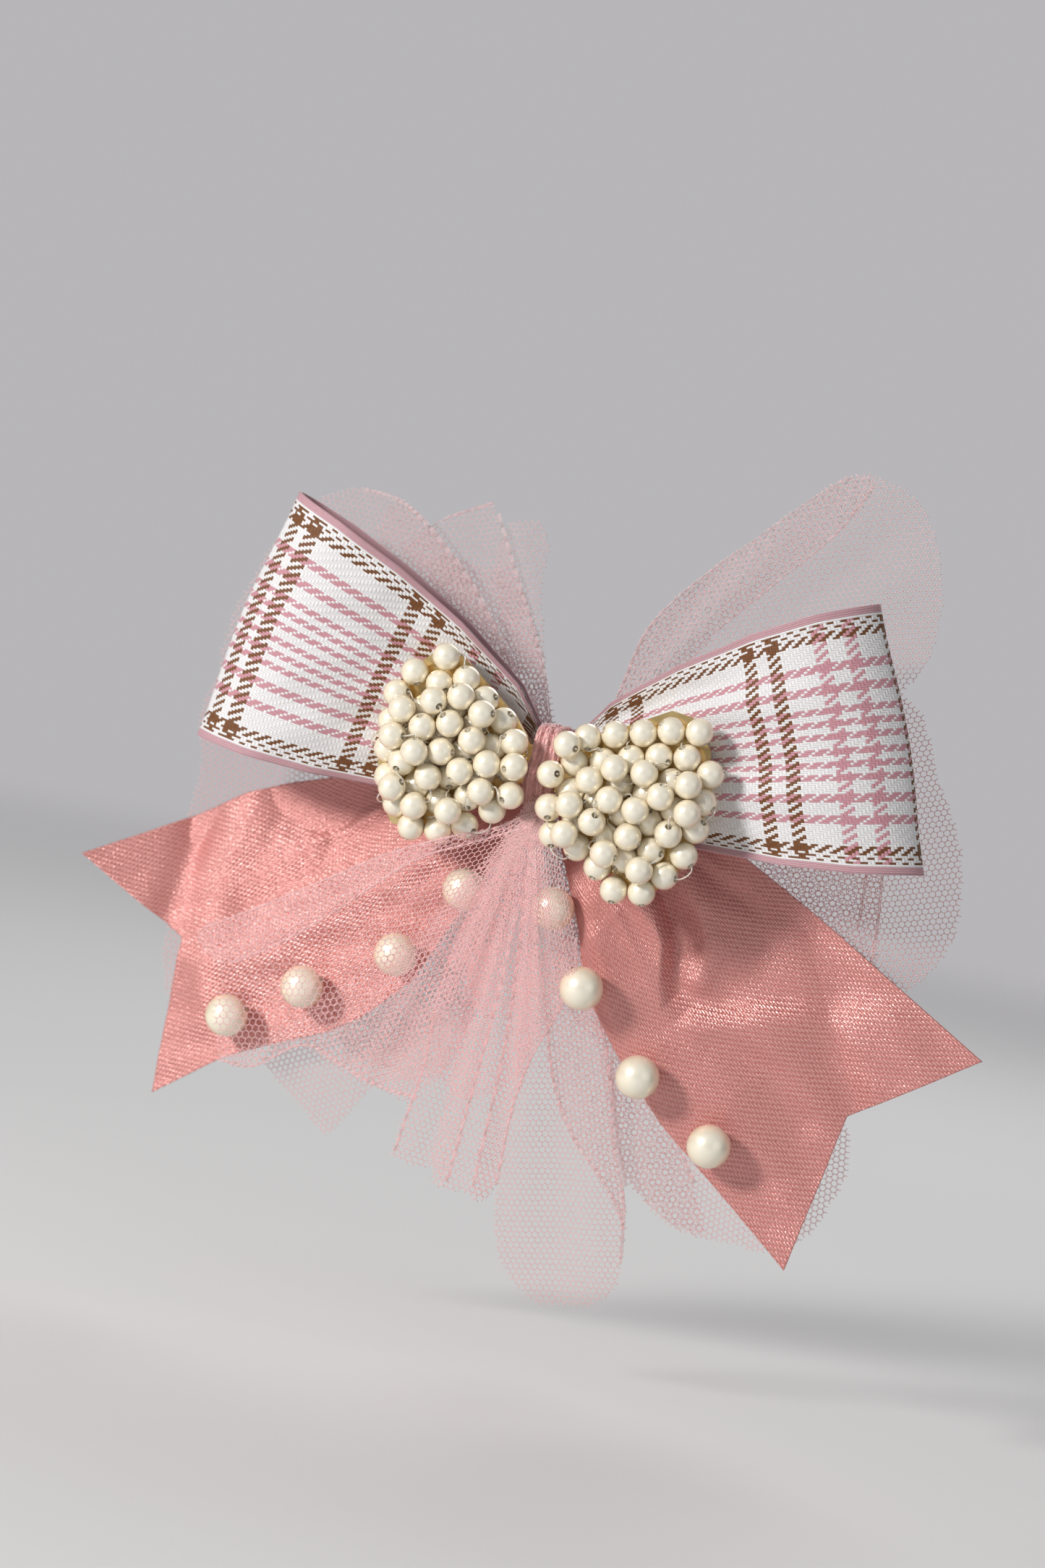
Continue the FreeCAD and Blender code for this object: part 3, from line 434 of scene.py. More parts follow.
def pearl_material():
    n = Nodes("pearl_cream")
    facing = n.add("ShaderNodeLayerWeight")
    facing.inputs["Blend"].default_value = 0.5
    cloud = n.noise(240.0, 3.0)
    # painted shade and a painted warm reflection: the pearl's colour darkens and warms from its
    # middle to its rim as seen from the camera
    painted_rim_shade = n.ramp(facing.outputs["Facing"],
                 [(0.0, (0.98, 0.92, 0.78, 1)), (0.4, (0.95, 0.86, 0.66, 1)),
                  (0.75, (0.86, 0.71, 0.46, 1)), (1.0, (0.74, 0.57, 0.36, 1))])
    body = n.mix(n.times(cloud, 0.3), painted_rim_shade, (0.97, 0.88, 0.78, 1))
    n.set(Base_Color=body, Roughness=0.30, Metallic=0.22, Specular_IOR_Level=1.0)
    n.set(Coat_Weight=0.8, Coat_Roughness=0.10, Coat_IOR=1.6)
    n.set(Subsurface_Weight=0.2, Subsurface_Radius=(0.0018, 0.0014, 0.0009))
    n.set(Sheen_Weight=0.2, Sheen_Tint=(1.0, 0.9, 0.85, 1))
    n.bump(n.noise(900.0, 2.0), 0.06, 0.02)
    return n.material


def gold_material():
    n = Nodes("gold_metal")
    wear = n.noise(300.0, 4.0)
    n.set(Base_Color=n.mix(wear, (0.94, 0.66, 0.26, 1), (1.0, 0.80, 0.42, 1)), Metallic=0.85)
    n.set(Roughness=n.times_plus(wear, 0.14, 0.16))
    n.bump(n.noise(1500.0, 2.0), 0.1, 0.02)
    return n.material


def steel_material(name, low, high):
    """Nickel plating with fine rolling lines along the strip."""
    n = Nodes(name)
    lines = n.noise(5200.0, 3.0, n.stretched((0.06, 1.0, 1.0)))
    n.set(Base_Color=n.mix(lines, grey(low), grey(high)), Metallic=1.0)
    n.set(Roughness=n.times_plus(lines, 0.14, 0.17))
    n.bump(lines, 0.05, 0.01)
    return n.material


def felt_material():
    n = Nodes("pad_felt")
    fibres = n.noise(2400.0, 5.0, roughness=0.75)
    tufts = n.noise(420.0, 3.0)
    n.set(Base_Color=n.mix(n.times(n.math("ADD", fibres, tufts), 0.5),
                           (0.52, 0.25, 0.25, 1), (0.80, 0.50, 0.49, 1)))
    n.set(Roughness=0.95, Sheen_Weight=0.6, Sheen_Roughness=0.6, Sheen_Tint=(1.0, 0.85, 0.83, 1))
    n.bump(fibres, 0.9, 0.25)
    return n.material


def yarn_material(name, dark, light, roughness=0.6):
    n = Nodes(name)
    twist = n.noise(3200.0, 2.0)
    n.set(Base_Color=n.mix(twist, dark, light), Roughness=roughness, Sheen_Weight=0.3)
    n.bump(twist, 0.5, 0.05)
    return n.material


def nylon_material():
    n = Nodes("clear_nylon")
    haze = n.noise(1800.0, 1.0)
    n.set(Base_Color=(0.90, 0.86, 0.78, 1), Roughness=0.2, IOR=1.45)
    n.set(Transmission_Weight=0.6, Specular_IOR_Level=n.times_plus(haze, 0.5, 0.5))
    return n.material


TULLE = tulle_material("tulle_pink", (0.91, 0.55, 0.55, 1), 0.6)
TULLE_PALE = tulle_material("tulle_pink_back", (0.89, 0.61, 0.62, 1), 0.5)
SATIN = satin_material()
PEARL = pearl_material()
GOLD = gold_material()
STEEL = steel_material("clip_steel", 0.78, 0.90)
WIRE = steel_material("spring_steel", 0.55, 0.72)
FELT = felt_material()
THREAD = yarn_material("winding_thread", (0.55, 0.28, 0.28, 1), (0.80, 0.52, 0.50, 1))
NYLON = nylon_material()


# ---------------------------------------------------------------- tulle net
PITCH = 1.15
STRAND_WIDTH = 0.145
STRAND_DEPTH = 0.11
STRAND_TURN = 0.4
BORDER_WIDTH = 0.17
BORDER_DEPTH = 0.16


def hex_lattice(low_w, high_w, low_s, high_s, turn_deg=0.0, shift=(0.0, 0.0), pitch=PITCH):
    """Nodes (w, s) of a honeycomb net in flat cloth coordinates, and its strands as index pairs."""
    turn = math.radians(turn_deg)
    mid_w, mid_s = (low_w + high_w) / 2, (low_s + high_s) / 2
    reach = math.hypot(high_w - low_w, high_s - low_s) / 2 + 2 * pitch
    rows = int(reach / (pitch * 0.866)) + 2
    columns = int(reach / pitch) + 2
    m, n = np.meshgrid(np.arange(-rows, rows + 1), np.arange(-columns, columns + 1), indexing="ij")
    # odd rows step half a cell sideways, so the lattice stays a rectangle
    half = (m % 2) * 0.5
    ax = (n + half) * pitch
    ay = m * pitch * math.sqrt(3) / 2
    a = np.stack([ax, ay], axis=-1)
    b = a + np.array([0.0, pitch / math.sqrt(3)])
    points = np.concatenate([a.reshape(-1, 2), b.reshape(-1, 2)])
    count_m, count_n = m.shape
    index_a = np.arange(count_m * count_n).reshape(count_m, count_n)
    index_b = index_a + count_m * count_n
    pairs = [np.stack([index_a.ravel(), index_b.ravel()], axis=1)]
    for row in range(count_m - 1):
        upper, lower = index_a[row + 1], index_b[row]
        pairs.append(np.stack([lower, upper], axis=1))
        if m[row, 0] % 2 == 1:
            pairs.append(np.stack([lower[:-1], upper[1:]], axis=1))
        else:
            pairs.append(np.stack([lower[1:], upper[:-1]], axis=1))
    edges = np.concatenate(pairs)
    rotation = np.array([[math.cos(turn), -math.sin(turn)], [math.sin(turn), math.cos(turn)]])
    points = points @ rotation.T + np.array([mid_w + shift[0], mid_s + shift[1]])
    return points, edges


TWIST = np.random.default_rng(7)


def strand_prisms(ends_a, ends_b, normals, width=STRAND_WIDTH, depth=STRAND_DEPTH):
    """One closed three-sided prism per strand, each turned a little so that they glint apart."""
    direction = ends_b - ends_a
    length = np.linalg.norm(direction, axis=1)[:, None]
    direction = direction / np.maximum(length, 1e-6)
    level = np.cross(normals, direction)
    level /= np.maximum(np.linalg.norm(level, axis=1)[:, None], 1e-6)
    upright = np.cross(direction, level)
    turn = TWIST.uniform(-STRAND_TURN, STRAND_TURN, len(ends_a))[:, None]
    side = level * np.cos(turn) + upright * np.sin(turn)
    across = upright * np.cos(turn) - level * np.sin(turn)
    start = ends_a - direction * width * 0.25
    end = ends_b + direction * width * 0.25
    corners = []
    for centre in (start, end):
        corners.append(centre + side * width / 2 - across * depth / 3)
        corners.append(centre - side * width / 2 - across * depth / 3)
        corners.append(centre + across * depth * 2 / 3)
    verts = np.stack(corners, axis=1).reshape(-1, 3)
    base = (np.arange(len(ends_a)) * 6)[:, None]
    quads = (base[:, :, None] + np.array([[0, 1, 4, 3], [1, 2, 5, 4], [2, 0, 3, 5]])).reshape(-1, 4)
    tris = (base[:, :, None] + np.array([[0, 2, 1], [3, 4, 5]])).reshape(-1, 3)
    return verts, quads, tris


def net_part(flat, edges, surface, keep, width=STRAND_WIDTH):
    """Lays a flat net on a surface. surface(w, s) gives points; keep(points) masks them."""
    w, s = flat[:, 0], flat[:, 1]
    points = surface(w, s)
    kept = keep(w, s, points)
    edges = edges[kept[edges[:, 0]] | kept[edges[:, 1]]]
    step = 0.2
    along_w = surface(w + step, s) - points
    along_s = surface(w, s + step) - points
    normals = np.cross(along_w, along_s)
    normals /= np.maximum(np.linalg.norm(normals, axis=1)[:, None], 1e-9)
    a, b = points[edges[:, 0]], points[edges[:, 1]]
    middle = normals[edges[:, 0]] + normals[edges[:, 1]]
    middle /= np.maximum(np.linalg.norm(middle, axis=1)[:, None], 1e-9)
    return strand_prisms(a, b, middle, width)


def border_part(path, depth):
    """A denser strand along a fold or an edge; path in (x, z), depth(x, z) gives y."""
    points = np.stack([path[:, 0], depth(path[:, 0], path[:, 1]), path[:, 1]], axis=1)
    normals = np.tile(np.array([0.0, -1.0, 0.0]), (len(points) - 1, 1))
    return strand_prisms(points[:-1], points[1:], normals, BORDER_WIDTH, BORDER_DEPTH)


class Sheet:
    """A gathered sheet of net that spreads out from near the knot, as a depth y over (x, z).

    outline is where the cloth is, bands are the places where it lies double, folds are folded
    edges drawn as denser strands. All are lists of (x, z).
    """

    def __init__(self, heading, length, root_share, depth, outline, bands=(), folds=(),
                 centre=(0.0, 0.0), rounded=True, pitch=PITCH):
        self.pitch = pitch
        self.heading, self.length, self.root_share = math.radians(heading), length, root_share
        self.depth, self.centre = depth, centre
        self.outline = smooth_closed(outline) if rounded else np.asarray(outline, dtype=float)
        self.bands = [smooth_closed(band) for band in bands]
        self.folds = folds

    def surface(self, w, s, offset):
        spread = w * (self.root_share + (1 - self.root_share) * np.clip(s / self.length, 0.0, 1.0))
        cos, sin = math.cos(self.heading), math.sin(self.heading)
        x = self.centre[0] + s * cos - spread * sin
        z = self.centre[1] + s * sin + spread * cos
        return np.stack([x, self.depth(x, z, offset), z], axis=1)

    def layer(self, polygon, offset, turn, shift):
        cos, sin = math.cos(self.heading), math.sin(self.heading)
        dx, dz = polygon[:, 0] - self.centre[0], polygon[:, 1] - self.centre[1]
        along = dx * cos + dz * sin
        share = self.root_share + (1 - self.root_share) * np.clip(along / self.length, 0.0, 1.0)
        side = (dz * cos - dx * sin) / share
        flat, edges = hex_lattice(side.min(), side.max(), along.min(), along.max(), turn,
                                  (shift, shift * 0.6), self.pitch)
        return net_part(flat, edges, lambda w, s: self.surface(w, s, offset),
                        lambda w, s, points: inside_polygon(points[:, 0], points[:, 2], polygon))

    def parts(self):
        result = [self.layer(self.outline, 0.0, 2.0, 0.0)]
        for number, band in enumerate(self.bands):
            result.append(self.layer(band, 1.0 - 0.5 * (number % 2), 26.0 + 13.0 * number, 0.5))
        for fold in self.folds:
            path = smooth_path(fold, 6)
            for nudge in (0.0, 0.28):
                result.append(border_part(path + nudge, self.depth))
        return result


def lobe_depth(heading, length, slot, layer, lean, pleats, phase, lift):
    """Depth of a lobe behind the ribbons: thin at its slot, then leaning back in soft pleats."""
    axis = math.radians(heading)

    def depth(x, z, offset=0.0):
        radius = np.hypot(x, z)
        turn = (np.arctan2(z, x) - axis + math.pi) % (2 * math.pi) - math.pi
        along = radius * np.cos(turn)
        blend = soft_step(along, 10.0, 0.32 * length)
        base = slot + (layer - slot) * blend + lean * np.maximum(0.0, along - 12.0)
        wave = (0.62 * np.sin(pleats * turn + phase + 0.03 * radius)
                + 0.26 * np.sin(pleats * 1.7 * turn + 2.1 * phase - 0.05 * radius)
                + 0.22 * np.sin(0.11 * radius + 2.0 * turn + phase))
        shares = np.array([0.0, 0.14, 0.32, 0.5, 0.7, 0.86, 1.0]) * length
        envelope = np.interp(along, shares, [0.1, 0.15, 0.55, 0.95, 1.35, 1.45, 0.8])
        return base + envelope * (wave + offset * 0.55) + lift * soft_step(radius, 20, length)

    return depth


# where each lobe starts at the knot; then each layer's depth and how much it leans back
BACK_SLOTS = [-5.2, -4.7, -3.7, -3.2]
FRONT_SLOTS = [-7.75, -7.15, -6.55, -5.95]
BACK = (-4.2, 0.14)
FRONT = (-6.8, 0.105)
LOBE_ROOT_SHARE = 0.72


def lobe(heading, length, slot, layer, pleats, phase, outline, lift=0.0, spread=None, **cloth):
    """A lobe behind the ribbons; spread is the sheet's own heading where that differs."""
    depth = lobe_depth(heading, length, slot, *layer, pleats, phase, lift)
    return Sheet(heading if spread is None else spread, length, LOBE_ROOT_SHARE, depth, outline,
                 **cloth)


UPPER_RIGHT_EDGE = [(6.8, 15), (10, 28.5), (18, 40), (25.5, 48), (34, 57), (40, 62.5)]
UPPER_RIGHT_FOLD = [(45, 62), (40, 52), (31, 41), (22, 30)]
BOTTOM_FOLD = [(8.6, -57.4), (13.3, -65.9), (20.8, -73.1), (25.7, -79.7), (27, -87)]
LOBES = {
    "tulle_lobe_upper_right": [lobe(
        48.0, 77.0, BACK_SLOTS[3], BACK, 22.0, 0.0,
        [(0, 1)] + UPPER_RIGHT_EDGE
        + [(46, 63.5), (53, 60.5), (58, 54), (60.5, 47), (61.3, 40), (60, 30), (50, 16), (28, 7),
           (4, -2)],
        bands=[[(4, 6)] + UPPER_RIGHT_EDGE + UPPER_RIGHT_FOLD + [(13, 14)]],
        folds=[UPPER_RIGHT_EDGE, UPPER_RIGHT_FOLD])],
    "tulle_lobe_right": [lobe(
        -10.0, 76.0, FRONT_SLOTS[0], FRONT, 20.0, 1.0,
        [(1, 2), (30, 20), (58, 25), (67.5, 11), (72.6, 2.2), (74.8, -4.3), (75.9, -14),
         (73.5, -21.5), (68, -28), (60, -28), (40, -21), (12, -9), (2, -4)],
        bands=[[(40, 4), (59, 8), (60.6, -4), (61.6, -16), (62.2, -25), (50, -19), (38, -8)]],
        folds=[[(59, 8), (60.6, -4), (61.6, -16), (62.2, -26)],
               [(56.8, 6), (58.0, -6), (58.3, -18)]])],
    "tulle_lobe_lower_right": [lobe(
        -55.0, 93.0, BACK_SLOTS[2], BACK, 22.0, 2.0,
        [(2, 0), (24, -18), (50, -40), (62.4, -54), (64, -62), (63.1, -67), (59, -76),
         (52.2, -80.4), (48, -80.4), (39.8, -80.4), (34, -79.2), (27, -74), (22, -68), (12, -40),
         (0, -6)],
        bands=[[(12, -30), (19, -56), (23.5, -70), (30, -76.5), (39.8, -80.2), (37, -72), (30, -60),
                (22, -40)]],
        folds=[[(18, -51), (21.5, -65), (24.8, -74)], [(37, -71), (30, -60), (22, -40)]])],
    "tulle_lobe_bottom": [lobe(
        -77.5, 98.0, FRONT_SLOTS[1], FRONT, 26.0, 0.6,
        [(2, -1), (9, -12), (15, -28), (18.6, -46), (18.8, -54), (21.6, -65.3), (25, -74.6),
         (26.4, -82), (27, -88.5), (26.4, -93), (22, -97), (14, -98.4), (9.7, -96.6),
         (5.4, -92.5), (2.6, -85), (2, -76), (1, -50), (-2, -4)],
        bands=[[(3, -36)] + BOTTOM_FOLD
               + [(26.2, -79), (25, -74.6), (21.6, -65.3), (18.3, -52), (10, -30)],
               [(0, -4), (9, -12), (15, -28), (18, -46), (10, -44), (3, -30), (-2, -6)],
               [(0, -4), (9, -12), (15, -28), (16, -36), (7, -36), (2, -20)]],
        folds=[[(5, -44)] + BOTTOM_FOLD,
               [(10, -30), (18.3, -52), (21.6, -65.3), (25, -74.6), (26.4, -82), (27, -88)]])],
    "tulle_lobe_lower_left": [lobe(
        -122.0, 84.0, FRONT_SLOTS[2], FRONT, 20.0, 1.7,
        [(-2, -1), (-34, -36), (-47.1, -65.1), (-32.5, -76.4), (-24.9, -64.6), (-12, -60),
         (-6, -40), (0, -5)],
        bands=[[(-4, -8), (-28, -40), (-33, -57), (-24, -61), (-12, -60), (-5, -30)]],
        rounded=False)],
    "tulle_lobe_left": [lobe(
        -165.0, 74.0, BACK_SLOTS[1], (BACK[0], 0.055), 18.0, 0.2,
        [(-2, 2), (-40, 4), (-66, 7), (-72, -1), (-70.5, -12), (-71.0, -24), (-71.0, -41),
         (-70.5, -50.5), (-66, -58), (-52, -46), (-36, -26), (-8, -5)],
        lift=3.0)],
    "tulle_lobe_upper_left": [lobe(
        150.0, 73.0, FRONT_SLOTS[3], FRONT, 20.0, 2.8,
        [(0, 2), (-22, 28), (-34, 39), (-41, 43), (-48.5, 44), (-55, 41.5), (-61, 35.5),
         (-65.5, 26.5), (-68.5, 15.5), (-69, 6), (-60, 2), (-30, 3), (-3, -1)],
        bands=[[(-12, 14), (-22, 28), (-34, 39), (-41, 43), (-44, 36), (-34, 24), (-20, 12)]],
        folds=[[(-12, 14), (-22, 28), (-34, 39), (-41, 43), (-48.5, 44)]])],
    "tulle_lobe_upper_inner": [
        lobe(108.0, 50.0, BACK_SLOTS[0], BACK, 20.0, 0.9,
             [(1, 2), (-3.8, 6.8), (-8.6, 19.2), (-14.5, 30), (-19, 37), (-22.4, 43.2),
              (-24.2, 45.9), (-32.7, 41.3), (-39, 34.3), (-26, 22), (-10, 8), (-2, 0)],
             bands=[[(-2, 4), (-8.6, 19.2), (-16, 32), (-24, 34), (-34, 33), (-26, 22), (-10, 8)]],
             folds=[[(-3.8, 6.8), (-8.6, 19.2), (-14.5, 30), (-22.6, 44)],
                    [(-39, 34.3), (-32.7, 41.3), (-24.2, 45.9)]], rounded=False),
        lobe(108.0, 50.0, BACK_SLOTS[0] + 0.2, (BACK[0] + 1.0, BACK[1]), 16.0, 2.0,
             [(1, 2), (-5, 10), (-11.3, 30.6), (-12.0, 37), (-12.8, 41), (-15.6, 44), (-21, 41),
              (-20, 30), (-8, 6)], spread=102.0)],
}
for node_name, sheets in LOBES.items():
    piece_of_parts(node_name + "_net", [part for sheet in sheets for part in sheet.parts()],
                   TULLE_PALE if "upper" in node_name else TULLE, node_name)


# ---------------------------------------------------------------- tulle in front
KNOT_FOOT = (-0.3, -5.5)


def drape_depth(heading, stations, hump, pleats, phase, size):
    """Depth of tulle hanging in front, by distance from the knot's foot.

    hump is (height, turn, spread) of the place where it passes over the lowest pearls.
    """
    axis = math.radians(heading)
    table = np.array(stations, dtype=float)

    def depth(x, z, offset=0.0):
        dx, dz = x - KNOT_FOOT[0], z - KNOT_FOOT[1]
        radius = np.hypot(dx, dz)
        turn = (np.arctan2(dz, dx) - axis + math.pi) % (2 * math.pi) - math.pi
        height, hump_turn, spread = hump
        over = (np.exp(-((radius - 15.0) / 8.0) ** 2) * np.exp(-((turn - hump_turn) / spread) ** 2))
        wave = (0.55 * np.sin(pleats * turn + phase)
                + 0.3 * np.sin(pleats * 2.3 * turn + 1.3 + 0.02 * radius))
        swell = size * soft_step(radius, 4.0, 30.0)
        return (np.interp(radius, table[:, 0], table[:, 1]) - height * over
                + swell * (wave + 0.45 * offset))

    return depth


UPPER_EDGE = [(-1.0, -8.6), (-6.5, -12.4), (-14.3, -15.7), (-25.2, -20.8), (-35.8, -27.6),
              (-46.4, -34.4), (-58.1, -41.4)]
BAND_EDGE = [(-57.8, -44.5), (-51.9, -46.7), (-40.1, -39.0), (-29.8, -29.9), (-19.7, -20.9),
             (-8.8, -15.2), (0.2, -10.6)]
HEM = [(-50.7, -64.7), (-44.1, -64.5), (-35.5, -58.6), (-27.9, -60.4), (-20.2, -62.9),
       (-12.3, -63.5)]
knot_tail = Sheet(
    222.0, 60.0, 0.42,
    drape_depth(222.0, [(3, -25.2), (8, -25.6), (16, -25.6), (24, -24.6), (34, -23.2), (46, -21.6),
                        (60, -19.0), (74, -17.2), (84, -16.2)], (7.0, -0.35, 0.30), 26.0, 0.4, 0.8),
    UPPER_EDGE + [(-57.8, -44.5), (-53, -47), (-53.3, -51.8), (-53, -56.4), (-51.6, -62)]
    + HEM + [(-11.4, -56), (-7.4, -40), (-3.0, -26), (0.4, -12), (0.6, -7.5)],
    bands=[UPPER_EDGE + BAND_EDGE, UPPER_EDGE + BAND_EDGE,
           [(-50.5, -64.2), (-44, -60), (-34, -51), (-20, -36.5), (-8, -20), (-2, -11), (-3.5, -28),
            (-10, -48), (-18, -58), (-27.9, -60), (-35.5, -58.4), (-44.1, -64)],
           [(0.4, -8), (-10, -24), (-18, -40), (-22, -56), (-27.9, -60.4), (-20.2, -62.9),
            (-12.3, -63.5), (-11, -50), (-4, -26)]],
    folds=[UPPER_EDGE, BAND_EDGE[1:], HEM],
    centre=KNOT_FOOT, rounded=False, pitch=1.32)
strip = Sheet(
    -97.0, 66.0, 0.34,
    drape_depth(-97.0, [(2, -24.6), (8, -23.6), (20, -21.6), (30, -19.9), (40, -17.6), (55, -14.0),
                        (75, -10.0)], (0.0, 0.0, 1.0), 30.0, 2.2, 0.9),
    [(-1.5, -6.5), (-6, -18), (-9.5, -30), (-12.4, -44), (-13.0, -56.4), (-16.6, -75.5),
     (-12, -76.6), (-7.5, -75.9), (-7.2, -79), (-2, -79.6), (1.6, -79.2), (3.4, -77.1),
     (4.3, -62.2), (6.2, -53.2), (9.2, -45), (12.0, -36), (11.2, -29), (8.8, -22), (6.0, -16),
     (3.2, -10.5), (1.4, -6.5)],
    bands=[[(4.6, -58), (6.2, -53.2), (9.2, -45), (12.0, -36), (9.0, -33), (4.6, -31), (3.4, -20),
            (2.4, -10.5), (0.4, -8), (1.0, -30)],
           [(-1.5, -6.5), (-6, -18), (-9, -30), (-11, -44), (-10.5, -58), (-4, -62), (4, -56),
            (8.0, -44), (5.4, -34), (3.4, -24), (2.0, -12), (1.0, -6.5)],
           [(-1.2, -7.5), (-5, -20), (-7.5, -36), (-7.4, -56), (-9, -75), (-5.6, -78.6),
            (-3.4, -60), (-1, -40), (0.4, -20), (0.6, -8)],
           [(0.4, -8), (1.0, -30), (1.2, -50), (-0.6, -78.6), (3.2, -77), (4.2, -62.2),
            (5.4, -53.2), (6.7, -41.8), (6.6, -30), (4.4, -19), (1.9, -11)],
           [(-1.2, -7), (-5, -18), (-9, -32), (-6, -44), (0, -46), (5, -40), (4.4, -30), (3.0, -19),
            (1.5, -10)]],
    folds=[[(3.4, -77.1), (4.3, -62.2), (6.2, -53.2), (9.2, -45), (12.0, -36), (11.2, -29)],
           [(-5.6, -78.2), (-3.4, -60), (-1, -40), (0.4, -20)],
           [(-16.4, -75.0), (-13.0, -56.4), (-12.4, -44), (-9.5, -30), (-6, -18)],
           [(-0.6, -78.2), (1.2, -50), (1.0, -30), (0.6, -12)]],
    centre=KNOT_FOOT, rounded=False)
for node_name, sheet in (("tulle_knot_tail", knot_tail), ("tulle_strip_bottom", strip)):
    net = piece_of_parts(node_name + "_net", sheet.parts(), TULLE, node_name)
    # a shortcut: real net casts a faint shadow, and these two cast none
    net.visible_shadow = False


# ---------------------------------------------------------------- satin tails
TAIL_LENGTH = 94.0
TAIL_START = 3.0
PEARL_SEAT_RADIUS = 4.15
# (distance from the knot, upper edge, lower edge), mm from the tail's middle line
RIGHT_EDGES = [(3, 3.0, 4.0), (9, 5.6, 10.0), (15, 8.0, 14.2), (22.3, 9.6, 19.3),
               (26.6, 10.0, 23.4), (34, 10.6, 28.3), (43, 11.0, 31.9), (51, 11.3, 34.3),
               (57, 11.5, 35.8), (70, 11.7, 37.6), (94, 12.0, 41.0)]
LEFT_EDGES = [(3, 3.0, 4.0), (9, 5.6, 8.0), (15, 7.6, 11.5), (25, 10.0, 18.5), (39, 12.5, 28.0),
              (50, 14.9, 31.0), (58, 15.9, 31.4), (68, 15.4, 30.2), (79, 15.3, 29.4),
              (95, 15.3, 31.2)]


def segment_distance(x, z, start, end):
    dx, dz = end[0] - start[0], end[1] - start[1]
    share = np.clip(((x - start[0]) * dx + (z - start[1]) * dz) / (dx * dx + dz * dz), 0.0, 1.0)
    return np.hypot(x - start[0] - share * dx, z - start[1] - share * dz)


def fold(x, z, path, spread, size):
    """A soft ridge (size > 0, towards the viewer) or valley along a path of (x, z) points."""
    away = np.min([segment_distance(x, z, a, b) for a, b in zip(path[:-1], path[1:])], axis=0)
    return size * np.exp(-(away / spread) ** 2)


def add_folds(height, x, z, folds):
    for path, spread, size in folds:
        height = height + fold(x, z, path, spread, size)
    return height


def gathers(u, v, lines):
    """Uneven folds that run out of the knot. A line is (where it ends across, width, height)."""
    total = 0.0
    for number, (ends_at, width, size) in enumerate(lines):
        spread = np.clip(u / 46.0, 0.15, 1.2)
        middle = ends_at * spread + 0.8 * np.sin(u / 11.0 + number)
        fades = np.exp(-((u - 22.0 - 3.0 * (number % 3)) / 15.0) ** 2)
        total = total + size * fades * np.exp(-((v - middle) / (width * (0.5 + 0.6 * spread))) ** 2)
    return total


def right_tail_height(u, v, c, x, z):
    """Height in front of the tail's back: a rolled tube at the lower edge, a pocket beside it."""
    brink = np.interp(u, [3, 12, 20, 30.3, 36, 40, 43.5, 47, 51, 57, 64, 75, 94],
                      [0, -2, -3.6, -5.8, -9.5, -14.2, -17.4, -17.2, -14.2, -8, -1, 8, 16])
    width = np.interp(u, [10, 34, 42, 48, 64, 80], [2.8, 3.2, 5.6, 8.6, 9.0, 12.0])
    raised = soft_step((brink - v) / width, -0.5, 0.5)
    rise = np.interp(u, [3, 14, 26, 38, 46, 64, 84], [0.2, 2.6, 4.2, 3.8, 2.7, 2.0, 0.6])
    height = 1.9 * soft_step(c, 0.0, 0.3) + rise * raised
    to_edge = np.interp(u, [p[0] for p in RIGHT_EDGES], [p[2] for p in RIGHT_EDGES]) + v
    curl = np.interp(u, [3, 14, 28, 40, 60], [0.2, 3.6, 4.6, 2.4, 0.8])
    height = height - curl * np.exp(-(to_edge / 2.6) ** 2)
    # inside the pocket: a ridge beside the crease, and long gathers out of the knot
    height += fold(x, z, [(24, -12), (30.8, -19.3), (33.6, -25.3), (33.4, -32.4)], 2.6,
                   1.2) * (1 - raised)
    height = add_folds(height, x, z, [
        ([(38.0, -16.2), (42.7, -23.4), (40.8, -30.3)], 4.5, -0.9),
        ([(56.9, -34.5), (59.9, -41.5), (65.4, -50.0)], 4.0, -1.3),
        ([(28, -48), (44, -58), (56, -66)], 5.0, 0.7),
        ([(38, -44), (48, -46), (56, -54)], 3.0, -0.5)])
    # both tips lift a little towards the viewer
    height += 0.14 * np.maximum(0.0, x - 58.0 + 0.5 * (z + 36.0)) * soft_step(z, -60.0, -44.0)
    height += 0.16 * np.maximum(0.0, -z - 66.0 + 0.3 * (x - 50.0))
    height += gathers(u, v, [(-3.0, 1.1, 0.30), (-7.5, 1.5, -0.45), (-12.0, 1.3, 0.35),
                             (-17.0, 1.6, -0.40), (-21.5, 1.2, 0.3), (4.5, 1.4, -0.5),
                             (8.0, 1.1, 0.3)])
    return height


